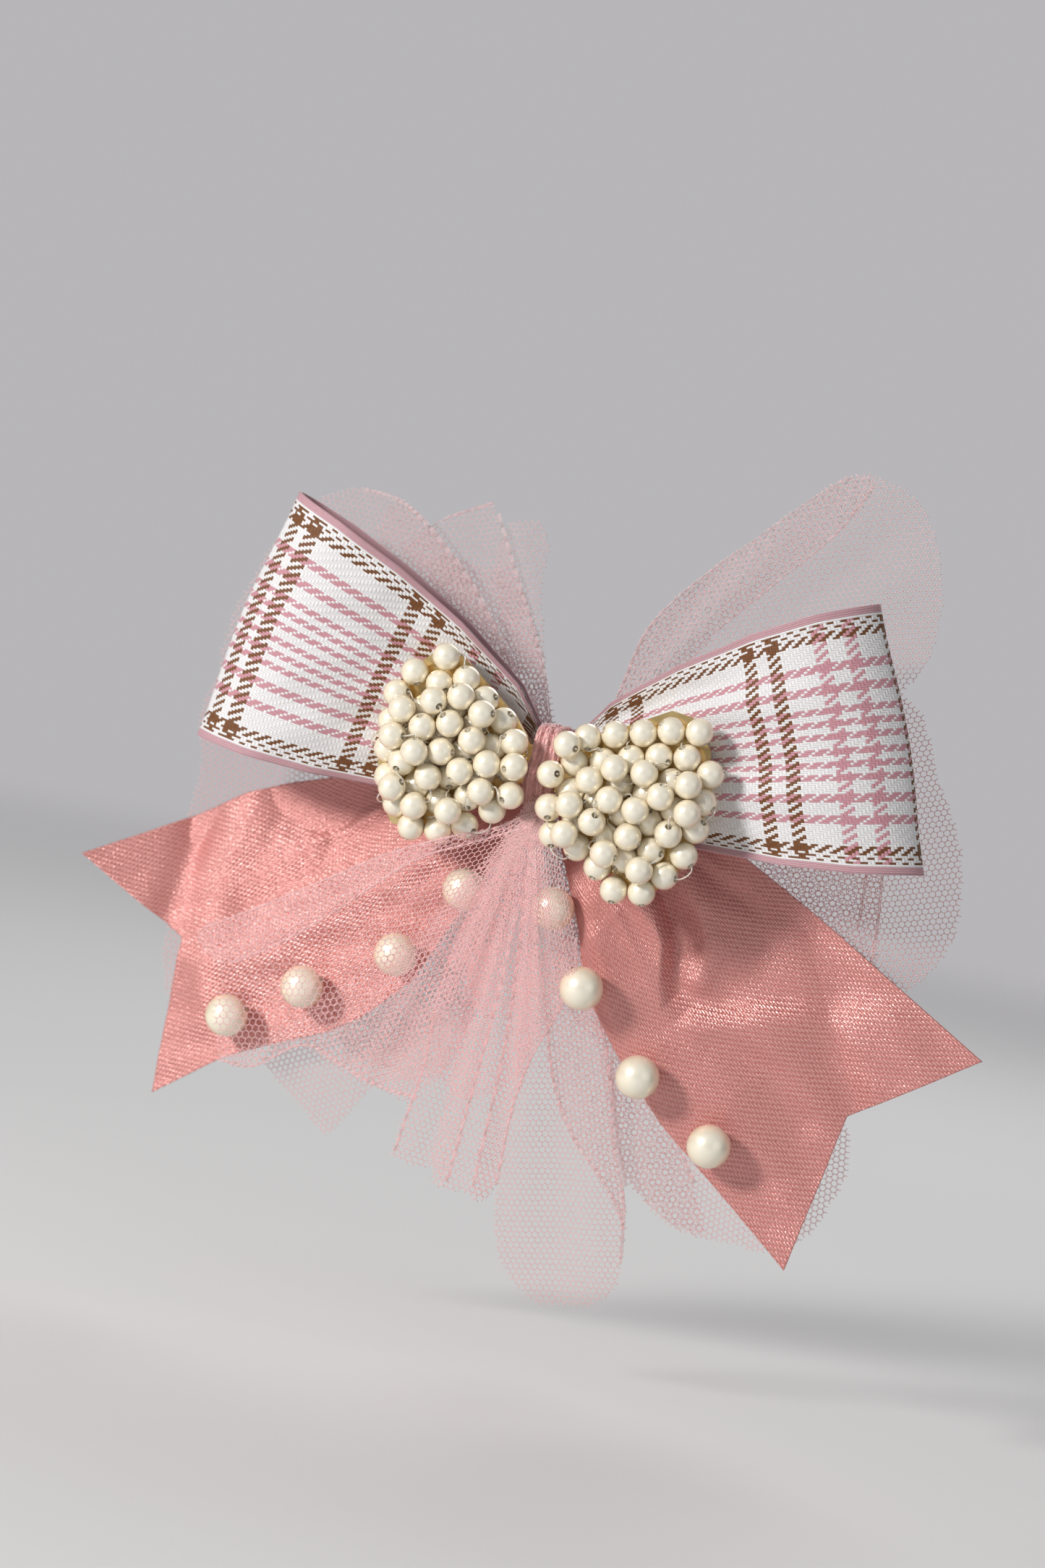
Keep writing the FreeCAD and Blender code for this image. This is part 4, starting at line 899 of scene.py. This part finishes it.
def left_tail_height(u, v, c, x, z):
    """Height in front of the tail's back: a crest in the middle and creases below the loop."""
    crest = np.interp(u, [3, 14, 26, 45, 94], [0, 0.6, 3.0, 2.8, 0.8])
    height = 1.6 * soft_step(c, 0.0, 0.25) + crest * soft_step(c, 0.1, 0.6)
    # the upper tip lifts towards the viewer beyond a valley
    beyond = -(x + 66.5) - 0.17 * (z + 21.0)
    beyond = np.where(beyond > 3.0, beyond - 1.5, np.maximum(0.0, beyond) ** 2 / 6.0)
    height += 0.46 * beyond * np.clip((z + 56.0) / 14.0, 0, 1)
    height = add_folds(height, x, z, [
        ([(-66.0, -21.0), (-69.2, -42.0)], 3.0, -1.2),
        ([(-58.0, -16.0), (-60.0, -40.0), (-58.0, -56.0)], 5.0, 1.1),
        # a hollow below the loop, with a thin crease along its lower side
        ([(-46.0, -13.0), (-41.0, -16.5)], 6.2, -3.2),
        ([(-43.5, -22.3), (-37.0, -18.6), (-31.5, -13.6)], 1.3, 0.9),
        ([(-26.0, -18.0), (-40.0, -28.0), (-54.0, -36.0)], 4.0, -0.9),
        ([(-22.0, -22.0), (-42.0, -38.0), (-60.0, -50.0)], 4.2, 0.9),
        ([(-30.0, -38.0), (-50.0, -56.0)], 3.6, -0.7)])
    height += gathers(u, v, [(-2.0, 1.2, 0.45), (-6.5, 1.4, -0.5), (-11.5, 1.6, 0.4),
                             (-17.0, 1.8, -0.45), (3.0, 1.2, -0.4), (7.5, 1.3, 0.35)])
    crinkle = 0.12 * np.sin(1.1 * x + 0.7 * z) * np.sin(0.9 * z - 0.5 * x)
    height += crinkle * np.exp(-(segment_distance(x, z, (-50, -24), (-34, -26)) / 6.0) ** 2)
    return height


def pearl_centres(node):
    """Middles of a node's large pearls, in millimetres."""
    points, turn, move = node_points(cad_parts[node])
    points = (points @ turn + move) / MM
    centres = []
    while len(points):
        near = np.linalg.norm(points - points[0], axis=1) < 9.0
        centres.append((points[near].min(axis=0) + points[near].max(axis=0)) / 2)
        points = points[~near]
    return centres


def satin_tail(name, side, angle_deg, root, edges, notch, height_of, seed):
    rows, columns = 300, 180
    t = np.linspace(0.0, 1.0, rows)[:, None]
    c = np.linspace(0.0, 1.0, columns)[None, :]
    notch_share, notch_depth, upper_end, lower_end = notch
    notch_at = TAIL_LENGTH - notch_depth
    end = np.where(c < notch_share,
                   upper_end - (upper_end - notch_at) * (c / notch_share),
                   lower_end - (lower_end - notch_at) * ((1 - c) / (1 - notch_share)))
    u = TAIL_START + t * (end - TAIL_START)
    table = np.array(edges, dtype=float)
    upper = np.interp(u, table[:, 0], table[:, 1])
    lower = np.interp(u, table[:, 0], table[:, 2])
    v = upper * (1 - c) - lower * c
    angle = math.radians(angle_deg)
    local = side * v
    x = u * math.cos(angle) - local * math.sin(angle)
    z = u * math.sin(angle) + local * math.cos(angle)
    back = -8.3 + 0.08 * np.maximum(0.0, u - 12.0)
    root_back = root + 0.4
    back = root_back + (back - root_back) * soft_step(u, 13.0, 25.0)
    height = 0.25 + height_of(u, v, c, x, z) * soft_step(u, 6.0, 22.0)
    ripple = (np.sin(0.55 * v + 0.21 * u + seed) * 0.14
              + np.sin(0.9 * v - 0.33 * u + 2 * seed) * 0.08
              + np.sin(0.16 * u + 0.1 * v + seed) * 0.30)
    height = height + ripple * soft_step(u, 10.0, 30.0)
    y = np.minimum(back - height, back - 0.2)
    # the cloth is pressed back where a pearl is sewn on
    for centre in pearl_centres(name.replace("satin_tail", "tail_pearls")):
        away = np.hypot(x - centre[0], z - centre[2])
        bowl = centre[1] + np.sqrt(np.maximum(PEARL_SEAT_RADIUS ** 2 - away ** 2, 0.0)) + 0.2
        y = np.where(away < PEARL_SEAT_RADIUS, np.maximum(y, bowl), y)
    verts = np.stack([x, y, z], axis=-1).reshape(-1, 3)
    obj = build_mesh(name + "_cloth", verts, grid_quads(rows, columns))
    set_uv(obj, np.stack([u, np.broadcast_to(c * RIBBON, u.shape)], axis=-1).reshape(-1, 2))
    solidify(obj, 0.28)
    finish_piece(obj, SATIN, name)


# notch: (share of the width, how far short of the length, upper tip, lower tip)
satin_tail("satin_tail_right", 1, -30.5, -8.6, RIGHT_EDGES, (0.47, 13.0, 92.4, 91.2),
           right_tail_height, 0.7)
satin_tail("satin_tail_left", -1, 210.5, -9.5, LEFT_EDGES, (0.472, 15.1, 91.0, 94.9),
           left_tail_height, 2.4)


# ---------------------------------------------------------------- plaid loops
LOOP_LENGTH = 64.5
LOOP_ANGLE = math.radians(15.7)
LOOP_PATH = [(0.035, -15.6), (0.08, -15.8), (0.19, -17.0), (0.32, -18.6), (0.46, -20.0),
             (0.56, -21.4), (0.66, -23.4), (0.78, -24.5), (0.88, -23.6), (0.95, -21.2),
             (0.99, -17.6), (0.95, -13.9), (0.88, -12.6), (0.66, -11.9), (0.32, -12.0),
             (0.035, -12.2)]
FAN_SHARE = np.array([0.0, 0.06, 0.10, 0.19, 0.40, 0.62, 0.82, 1.02])
FAN_HALF = np.array([0.07, 0.085, 0.13, 0.22, 0.33, 0.41, 0.46, 0.49])


def plaid_loop(name, side, pair_at, ends, twill, seed):
    """A ribbon folded back on itself.

    pair_at is the distance from the knot of the first brown pair; ends is how much further than
    the loop's length the (lower, upper) corner reaches.
    """
    path = smooth_path([(share * LOOP_LENGTH, y) for share, y in LOOP_PATH], 20)
    steps = np.concatenate([[0.0], np.cumsum(np.hypot(*np.diff(path, axis=0).T))])
    rows, columns = 330, 130
    arc = np.linspace(0.0, steps[-1], rows)
    u_path = np.interp(arc, steps, path[:, 0])
    y_path = np.interp(arc, steps, path[:, 1])
    fold_arc = arc[np.argmax(u_path)]
    tangent = np.stack([np.gradient(u_path), np.gradient(y_path)], axis=1)
    tangent /= np.linalg.norm(tangent, axis=1)[:, None]
    normal = np.stack([-tangent[:, 1], tangent[:, 0]], axis=1)
    v = np.linspace(-HALF_RIBBON, HALF_RIBBON, columns)[None, :]
    share = (u_path / LOOP_LENGTH)[:, None]
    half = np.interp(share, FAN_SHARE, FAN_HALF) * RIBBON
    squeeze = half / HALF_RIBBON
    front = (arc < fold_arc)[:, None]
    # the pleats pressed in at the knot open out and die away along the loop
    size = np.interp(u_path, [0, 8, 18, 30, 44, 58], [0.25, 0.5, 1.1, 1.25, 0.55, 0.0])[:, None]
    size = np.where(front, size, size * 0.25)
    pleat = (np.cos(v / HALF_RIBBON * math.pi * 2.5 + seed) * 0.75
             + np.cos(v / HALF_RIBBON * math.pi * 5.1 + 2.0 * seed + 0.05 * u_path[:, None]) * 0.25)
    belly = 0.9 * (1 - (v / HALF_RIBBON) ** 2) * np.sin(np.clip(share, 0, 1) * math.pi)
    belly = np.where(front, belly, -0.3 * belly)
    shift = size * pleat - belly + 0.12 * np.sin(0.4 * v + 0.5 * arc[:, None] + seed)
    shift = shift * np.clip((1.0 - share) * 9.0, 0.0, 1.0)
    u = u_path[:, None] + normal[:, 0:1] * shift
    y = y_path[:, None] + shift * np.abs(normal[:, 1:2])
    # the gathered cloth is pulled towards the knot at its edges
    u = u + 0.6 * np.cos(v / HALF_RIBBON * math.pi) * np.clip(share, 0, 1)
    lower_end, upper_end = ends
    corner = lower_end + (upper_end - lower_end) * (v + HALF_RIBBON) / RIBBON
    u = u + corner * soft_step(share, 0.15, 1.0)
    across = v * squeeze
    x = u * math.cos(LOOP_ANGLE) - across * math.sin(LOOP_ANGLE)
    z = u * math.sin(LOOP_ANGLE) + across * math.cos(LOOP_ANGLE)
    verts = np.stack([side * x, y, z], axis=-1).reshape(-1, 3)
    obj = build_mesh(name + "_cloth", verts, grid_quads(rows, columns))
    uv = np.stack([np.broadcast_to(arc[:, None], x.shape), np.broadcast_to(v, x.shape)], axis=-1)
    set_uv(obj, uv.reshape(-1, 2))
    solidify(obj, 0.42)
    front_rows = arc < fold_arc
    shift_mm = np.interp(pair_at, u_path[front_rows], arc[front_rows])
    look = "plaid_ribbon_" + name.removeprefix("plaid_loop_")
    finish_piece(obj, plaid_material(look, float(shift_mm), twill), name)


plaid_loop("plaid_loop_right", 1, 14.5, (2.6, -1.4), -1.0, 0.4)
plaid_loop("plaid_loop_left", -1, 32.0, (-1.4, 1.3), 1.0, 2.2)


# ---------------------------------------------------------------- knot
def rounded_path(half_z, front, back, count):
    """Closed rounded box in the YZ plane, as (y, z, outward y, outward z)."""
    squareness = 4.0
    a = np.arange(count) * 2 * math.pi / count
    half_y = (back - front) / 2
    centre_y = (back + front) / 2
    cos, sin = np.cos(a), np.sin(a)
    radius = (np.abs(cos) ** squareness + np.abs(sin) ** squareness) ** (-1 / squareness)
    y = centre_y + half_y * radius * cos
    z = half_z * radius * sin
    ty = np.roll(y, -1) - np.roll(y, 1)
    tz = np.roll(z, -1) - np.roll(z, 1)
    length = np.hypot(ty, tz)
    return y, z, tz / length, -ty / length


WINDING_POINTS = 96
WINDING_PITCH = 0.66
winding = []
winding_y, winding_z, _, _ = rounded_path(6.65, -17.05, -11.15, WINDING_POINTS)
sway = 0.1 * np.sin(np.arange(WINDING_POINTS) * 2 * math.pi / WINDING_POINTS)
for turn_index in range(5):
    winding_x = np.full(WINDING_POINTS, (turn_index - 2) * WINDING_PITCH) + sway
    winding.append(tube(np.stack([winding_x, winding_y, winding_z], axis=1), 0.28, closed=True))
piece_of_parts("binding_thread_turns", winding, THREAD, "binding_thread")

WRAP_ROWS, WRAP_COLUMNS = 300, 90
wrap_y, wrap_z, wrap_ny, wrap_nz = rounded_path(7.55, -24.1, -10.7, WRAP_ROWS)


def wrap_surface(angle_share, c, lift=0.0):
    """Points of the crumpled wrap: angle_share 0..1 round the waist, c -1..1 across it."""
    index = (angle_share % 1.0) * WRAP_ROWS
    low = np.floor(index).astype(int) % WRAP_ROWS
    part = index - np.floor(index)
    high = (low + 1) % WRAP_ROWS

    def sample(values):
        return values[low] * (1 - part) + values[high] * part

    a = angle_share * 2 * math.pi
    ridges = (0.26 * np.cos(c * 9.0 + 0.9 * np.sin(a) + 0.5 * np.sin(3 * a))
              + 0.14 * np.cos(c * 19.0 + 1.6 * np.sin(2 * a + 1.0))
              + 0.05 * np.cos(c * 37.0 + 2.0 * np.sin(4 * a)))
    swell = 0.32 * (1 - c * c)
    height = ridges + swell - 0.1 + lift
    half_width = 2.55 + 0.25 * np.sin(2 * a + 0.6)
    x = c * half_width + 0.12 * np.sin(5 * a)
    return np.stack([x, sample(wrap_y) + sample(wrap_ny) * height,
                     sample(wrap_z) + sample(wrap_nz) * height], axis=-1)


share_grid = (np.arange(WRAP_ROWS) / WRAP_ROWS)[:, None] * np.ones((1, WRAP_COLUMNS))
c_grid = np.linspace(-1, 1, WRAP_COLUMNS)[None, :] * np.ones((WRAP_ROWS, 1))
wrap_verts = wrap_surface(share_grid.ravel(), c_grid.ravel())
wrap_body = build_mesh("centre_wrap_folds", wrap_verts, grid_quads(WRAP_ROWS, WRAP_COLUMNS, True))
solidify(wrap_body, 0.35, -1.0)


def knot_material():
    n = Nodes("tulle_pressed")
    streaks = n.noise(2600.0, 3.0, n.stretched((1.0, 0.12, 0.12)))
    n.set(Base_Color=n.mix(streaks, (0.72, 0.31, 0.30, 1), (0.92, 0.58, 0.55, 1)))
    n.set(Roughness=0.55, Sheen_Weight=0.5, Sheen_Roughness=0.4)
    n.bump(streaks, 0.8, 0.12)
    return n.material


finish_piece(wrap_body, knot_material(), "centre_wrap")

WRAP_NET_LENGTH, WRAP_NET_HALF = 52.0, 4.15
flat, edges = hex_lattice(-4.5, 4.5, 0.0, WRAP_NET_LENGTH, 8.0)
wrap_net = net_part(
    flat, edges, lambda w, s: wrap_surface(s / WRAP_NET_LENGTH, w / 4.2, 0.13),
    lambda w, s, points: (np.abs(w) < WRAP_NET_HALF) & (s >= 0) & (s < WRAP_NET_LENGTH), 0.14)
piece_of_parts("centre_wrap_net", [wrap_net], TULLE, "centre_wrap")


# ---------------------------------------------------------------- beading thread
def islands(obj):
    """The points of each separate shell of a frame node, in millimetres."""
    points, turn, move = node_points(obj)
    points = points / MM @ turn + move / MM
    _, welded = np.unique(np.round(points, 3), axis=0, return_inverse=True)
    welded = welded.ravel()
    parent = list(range(welded.max() + 1))

    def find(i):
        while parent[i] != i:
            parent[i] = parent[parent[i]]
            i = parent[i]
        return i

    for edge in obj.data.edges:
        a, b = find(int(welded[edge.vertices[0]])), find(int(welded[edge.vertices[1]]))
        if a != b:
            parent[a] = b
    roots = np.array([find(int(i)) for i in welded])
    return [points[roots == root] for root in np.unique(roots)]


def rod_ends(points):
    """The two ends of a straight rod, from the points on it."""
    centre = points.mean(axis=0)
    _, _, axes = np.linalg.svd(points - centre, full_matrices=False)
    direction = axes[0]
    reach = (points - centre) @ direction
    return centre + direction * reach.min(), centre + direction * reach.max()


def bezier(p0, p1, p2, p3):
    t = np.linspace(0, 1, 12)[:, None]
    return ((1 - t) ** 3 * p0 + 3 * (1 - t) ** 2 * t * p1 + 3 * (1 - t) * t * t * p2 + t ** 3 * p3)


# mm; the trim is cut from both ends of each rod, the pull is a share of the gap it bridges
THREAD_RADIUS = 0.15
THREAD_SIDES = 6
ROD_TRIM = 0.42
LONGEST_LINK = 3.6
LINK_PULL = 0.38


def beading_thread(node):
    """The clear strand: straight through each pearl, then bowed to the nearest free hole."""
    ends, parts = [], []
    for shell in islands(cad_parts[node]):
        first, second = rod_ends(shell)
        axis = (second - first) / np.linalg.norm(second - first)
        first, second = first + axis * ROD_TRIM, second - axis * ROD_TRIM
        rod = np.array([first, (first + second) / 2, second])
        parts.append(tube(rod, THREAD_RADIUS, THREAD_SIDES))
        ends.append((first, -axis, len(parts)))
        ends.append((second, axis, len(parts)))
    links = []
    for i in range(len(ends)):
        for j in range(i):
            gap = float(np.linalg.norm(ends[i][0] - ends[j][0]))
            if ends[i][2] != ends[j][2] and gap < LONGEST_LINK:
                links.append((gap, i, j))
    free = set(range(len(ends)))
    for gap, i, j in sorted(links):
        if i in free and j in free:
            free -= {i, j}
            a, b = ends[i], ends[j]
            curve = bezier(a[0], a[0] + a[1] * gap * LINK_PULL, b[0] + b[1] * gap * LINK_PULL, b[0])
            parts.append(tube(curve, THREAD_RADIUS, THREAD_SIDES))
    piece_of_parts(node + "_strand", parts, NYLON, node)


beading_thread("beading_thread_right")
beading_thread("beading_thread_left")


# ---------------------------------------------------------------- felt pad and spring
def felt_pad():
    half_x, half_z, corner, low_y, high_y = 27.0, 7.5, 5.0, -2.8, -1.1
    count = 160
    a = np.arange(count) * 2 * math.pi / count
    direction = np.stack([np.cos(a), np.sin(a)], axis=1)
    outline = []
    for angle in a:
        cx = math.copysign(half_x - corner, math.cos(angle))
        cz = math.copysign(half_z - corner, math.sin(angle))
        outline.append((cx + corner * math.cos(angle), cz + corner * math.sin(angle)))
    outline = np.array(outline)
    # the edge is rounded: how far each ring is drawn in, and its share of the thickness
    inset = [2.4, 1.2, 0.5, 0.15, 0.0, 0.0, 0.15, 0.5, 1.2, 2.4]
    depth = [0.0, 0.02, 0.1, 0.28, 0.5, 0.62, 0.8, 0.94, 0.99, 1.0]
    rings = []
    for inward, share in zip(inset, depth):
        ring = outline - direction * inward
        y = np.full(count, low_y + (high_y - low_y) * share)
        y += 0.04 * np.sin(ring[:, 0] * 1.7 + ring[:, 1] * 2.3)
        rings.append(np.stack([ring[:, 0], y, ring[:, 1]], axis=1))
    verts = np.concatenate(rings)
    rows = len(rings)
    quads = ring_quads(rows, count)
    middle_low = len(verts)
    verts = np.concatenate([verts, [[0, low_y, 0], [0, high_y, 0]]])
    tris = []
    last = (rows - 1) * count
    for k in range(count):
        tris.append((middle_low, k + 1 if k + 1 < count else 0, k))
        tris.append((middle_low + 1, last + k, last + (k + 1) % count))
    return build_mesh("backing_pad_felt", verts, quads, np.array(tris))


finish_piece(felt_pad(), FELT, "backing_pad")

# the spring's coil sits round the hinge pin, with a leg along each jaw
PIVOT_X, PIVOT_Y = 20.0, 3.4
COIL_HALF, COIL_RADIUS, WIRE_RADIUS, COIL_TURNS = 1.125, 1.7, 0.3, 3
LEG_REACH = 9.0
turns = np.linspace(0.0, COIL_TURNS * 2 * math.pi, 110)
coil = np.stack([PIVOT_X + COIL_RADIUS * np.cos(turns), PIVOT_Y + COIL_RADIUS * np.sin(turns),
                 np.linspace(-COIL_HALF, COIL_HALF, len(turns))], axis=1)
leg_front = np.linspace([PIVOT_X + LEG_REACH, 0.35, -COIL_HALF], coil[0], 14)[:-1]
leg_back = np.linspace(coil[-1], [PIVOT_X + LEG_REACH, 9.6, COIL_HALF], 14)[1:]
spring = build_mesh("clip_spring_wire",
                    *tube(np.concatenate([leg_front, coil, leg_back]), WIRE_RADIUS, 12))
spring.data.materials.append(WIRE)
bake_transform(spring)
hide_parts("clip_spring")


# ---------------------------------------------------------------- CAD parts shown as they are
CAD_LOOKS = {
    "gold_bow_plate": GOLD, "seed_pearls_right": PEARL, "seed_pearls_left": PEARL,
    "tail_pearls_right": PEARL, "tail_pearls_left": PEARL,
    "clip_upper_jaw": STEEL, "clip_lower_jaw": STEEL, "clip_pivot_pin": STEEL,
}
for node_name, material in CAD_LOOKS.items():
    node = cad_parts[node_name]
    node.data.materials.clear()
    node.data.materials.append(material)
    node.data.polygons.foreach_set("use_smooth", np.full(len(node.data.polygons), True))
    node.data.set_sharp_from_angle(angle=math.radians(32))


# ---------------------------------------------------------------- floor, light, camera
def add_floor():
    bpy.ops.mesh.primitive_circle_add(vertices=96, radius=1.6, fill_type="TRIFAN",
                                      location=(0.0, 0.0, -0.112))
    floor = bpy.context.object
    floor.name = "floor"
    n = Nodes("floor_pale")
    coords = n.add("ShaderNodeTexCoord").outputs["Object"]
    length = n.add("ShaderNodeVectorMath", operation="LENGTH")
    n.plug(length.inputs[0], coords)
    fade = n.math("SUBTRACT", 1.0, n.math("DIVIDE", length.outputs["Value"], 1.5))
    fade = n.math("SMOOTH_MIN", n.math("MAXIMUM", fade, 0.0), 1.0, 0.1)
    n.set(Base_Color=n.mix(n.noise(6.0, 2.0), grey(0.70), grey(0.74)), Roughness=0.85)
    n.set(Alpha=n.math("POWER", fade, 0.7))
    floor.data.materials.append(n.material)


add_floor()

world = bpy.data.worlds.new("studio")
bpy.context.scene.world = world
world.use_nodes = True
tree = world.node_tree
background = tree.nodes["Background"]
# The eye sees a pale grey studio. Cloth, metal and pearls are lit by a dimmer one, with a darker
# floor side and brighter panels overhead, so that the key light models them.
ray = tree.nodes.new("ShaderNodeLightPath")
choose = tree.nodes.new("ShaderNodeMix")
choose.data_type = "RGBA"
choose.inputs[7].default_value = (0.475, 0.465, 0.48, 1)
direction = tree.nodes.new("ShaderNodeTexCoord")
parts_of = tree.nodes.new("ShaderNodeSeparateXYZ")
panels = tree.nodes.new("ShaderNodeValToRGB")
fill_ramp(panels.color_ramp, [
    (0.0, (0.13, 0.125, 0.125, 1)), (0.12, grey(0.16)), (0.2, grey(0.22)), (0.45, grey(0.20)),
    (0.5, grey(0.38)), (0.9, (0.36, 0.355, 0.36, 1))])
tree.links.new(ray.outputs["Is Camera Ray"], choose.inputs[0])
tree.links.new(direction.outputs["Generated"], parts_of.inputs[0])
tree.links.new(parts_of.outputs[2], panels.inputs[0])
tree.links.new(panels.outputs[0], choose.inputs[6])
tree.links.new(choose.outputs[2], background.inputs["Color"])


def add_light(name, location, size, energy, colour=(1.0, 1.0, 1.0)):
    light = bpy.data.lights.new(name, "AREA")
    light.shape = "DISK"
    light.size = size
    light.energy = energy
    light.color = colour
    holder = bpy.data.objects.new(name, light)
    holder.location = location
    aim = Vector((0.0, -0.01, -0.01)) - Vector(location)
    holder.rotation_euler = aim.to_track_quat("-Z", "Y").to_euler()
    bpy.context.scene.collection.objects.link(holder)


add_light("key", (-0.60, -0.75, 0.33), 0.20, 9.0, (1.0, 0.985, 0.96))
add_light("fill", (0.75, -0.55, 0.15), 0.8, 0.9)
add_light("back_light", (0.1, 0.75, 0.55), 0.7, 3.0)

# the camera looks from the bow's right, a little above it, and rolls
AZIMUTH, ELEVATION, ROLL = math.radians(12), math.radians(2), math.radians(11)
toward_camera = Vector((math.sin(AZIMUTH) * math.cos(ELEVATION),
                        -math.cos(AZIMUTH) * math.cos(ELEVATION), math.sin(ELEVATION)))
level_right = Vector((math.cos(AZIMUTH), math.sin(AZIMUTH), 0.0))
level_up = toward_camera.cross(level_right)
camera_right = level_right * math.cos(ROLL) + level_up * math.sin(ROLL)
camera_up = level_up * math.cos(ROLL) - level_right * math.sin(ROLL)
knot_front = Vector((0.0, -0.027, 0.0))
camera_data = bpy.data.cameras.new("camera")
camera = bpy.data.objects.new("camera", camera_data)
bpy.context.scene.collection.objects.link(camera)
camera_data.sensor_fit = "VERTICAL"
camera_data.sensor_height = 36.0
camera_data.lens = 85.0
CAMERA_DISTANCE = 0.66
# how far the aim is moved from the knot, so that the bow sits off the middle of the frame
AIM_LEFT, AIM_DOWN = 0.0029, 0.00284
camera.location = (knot_front + toward_camera * CAMERA_DISTANCE - camera_right * AIM_LEFT
                   - camera_up * AIM_DOWN)
camera.rotation_euler = Matrix((camera_right, camera_up, toward_camera)).transposed().to_euler()
camera_data.clip_start = 0.01
camera_data.dof.use_dof = True
focus = bpy.data.objects.new("focus", None)
focus.location = (0.0, -0.026, 0.0)
bpy.context.scene.collection.objects.link(focus)
camera_data.dof.focus_object = focus
camera_data.dof.aperture_fstop = 10.0
bpy.context.scene.camera = camera
bpy.context.scene.view_settings.view_transform = "Standard"
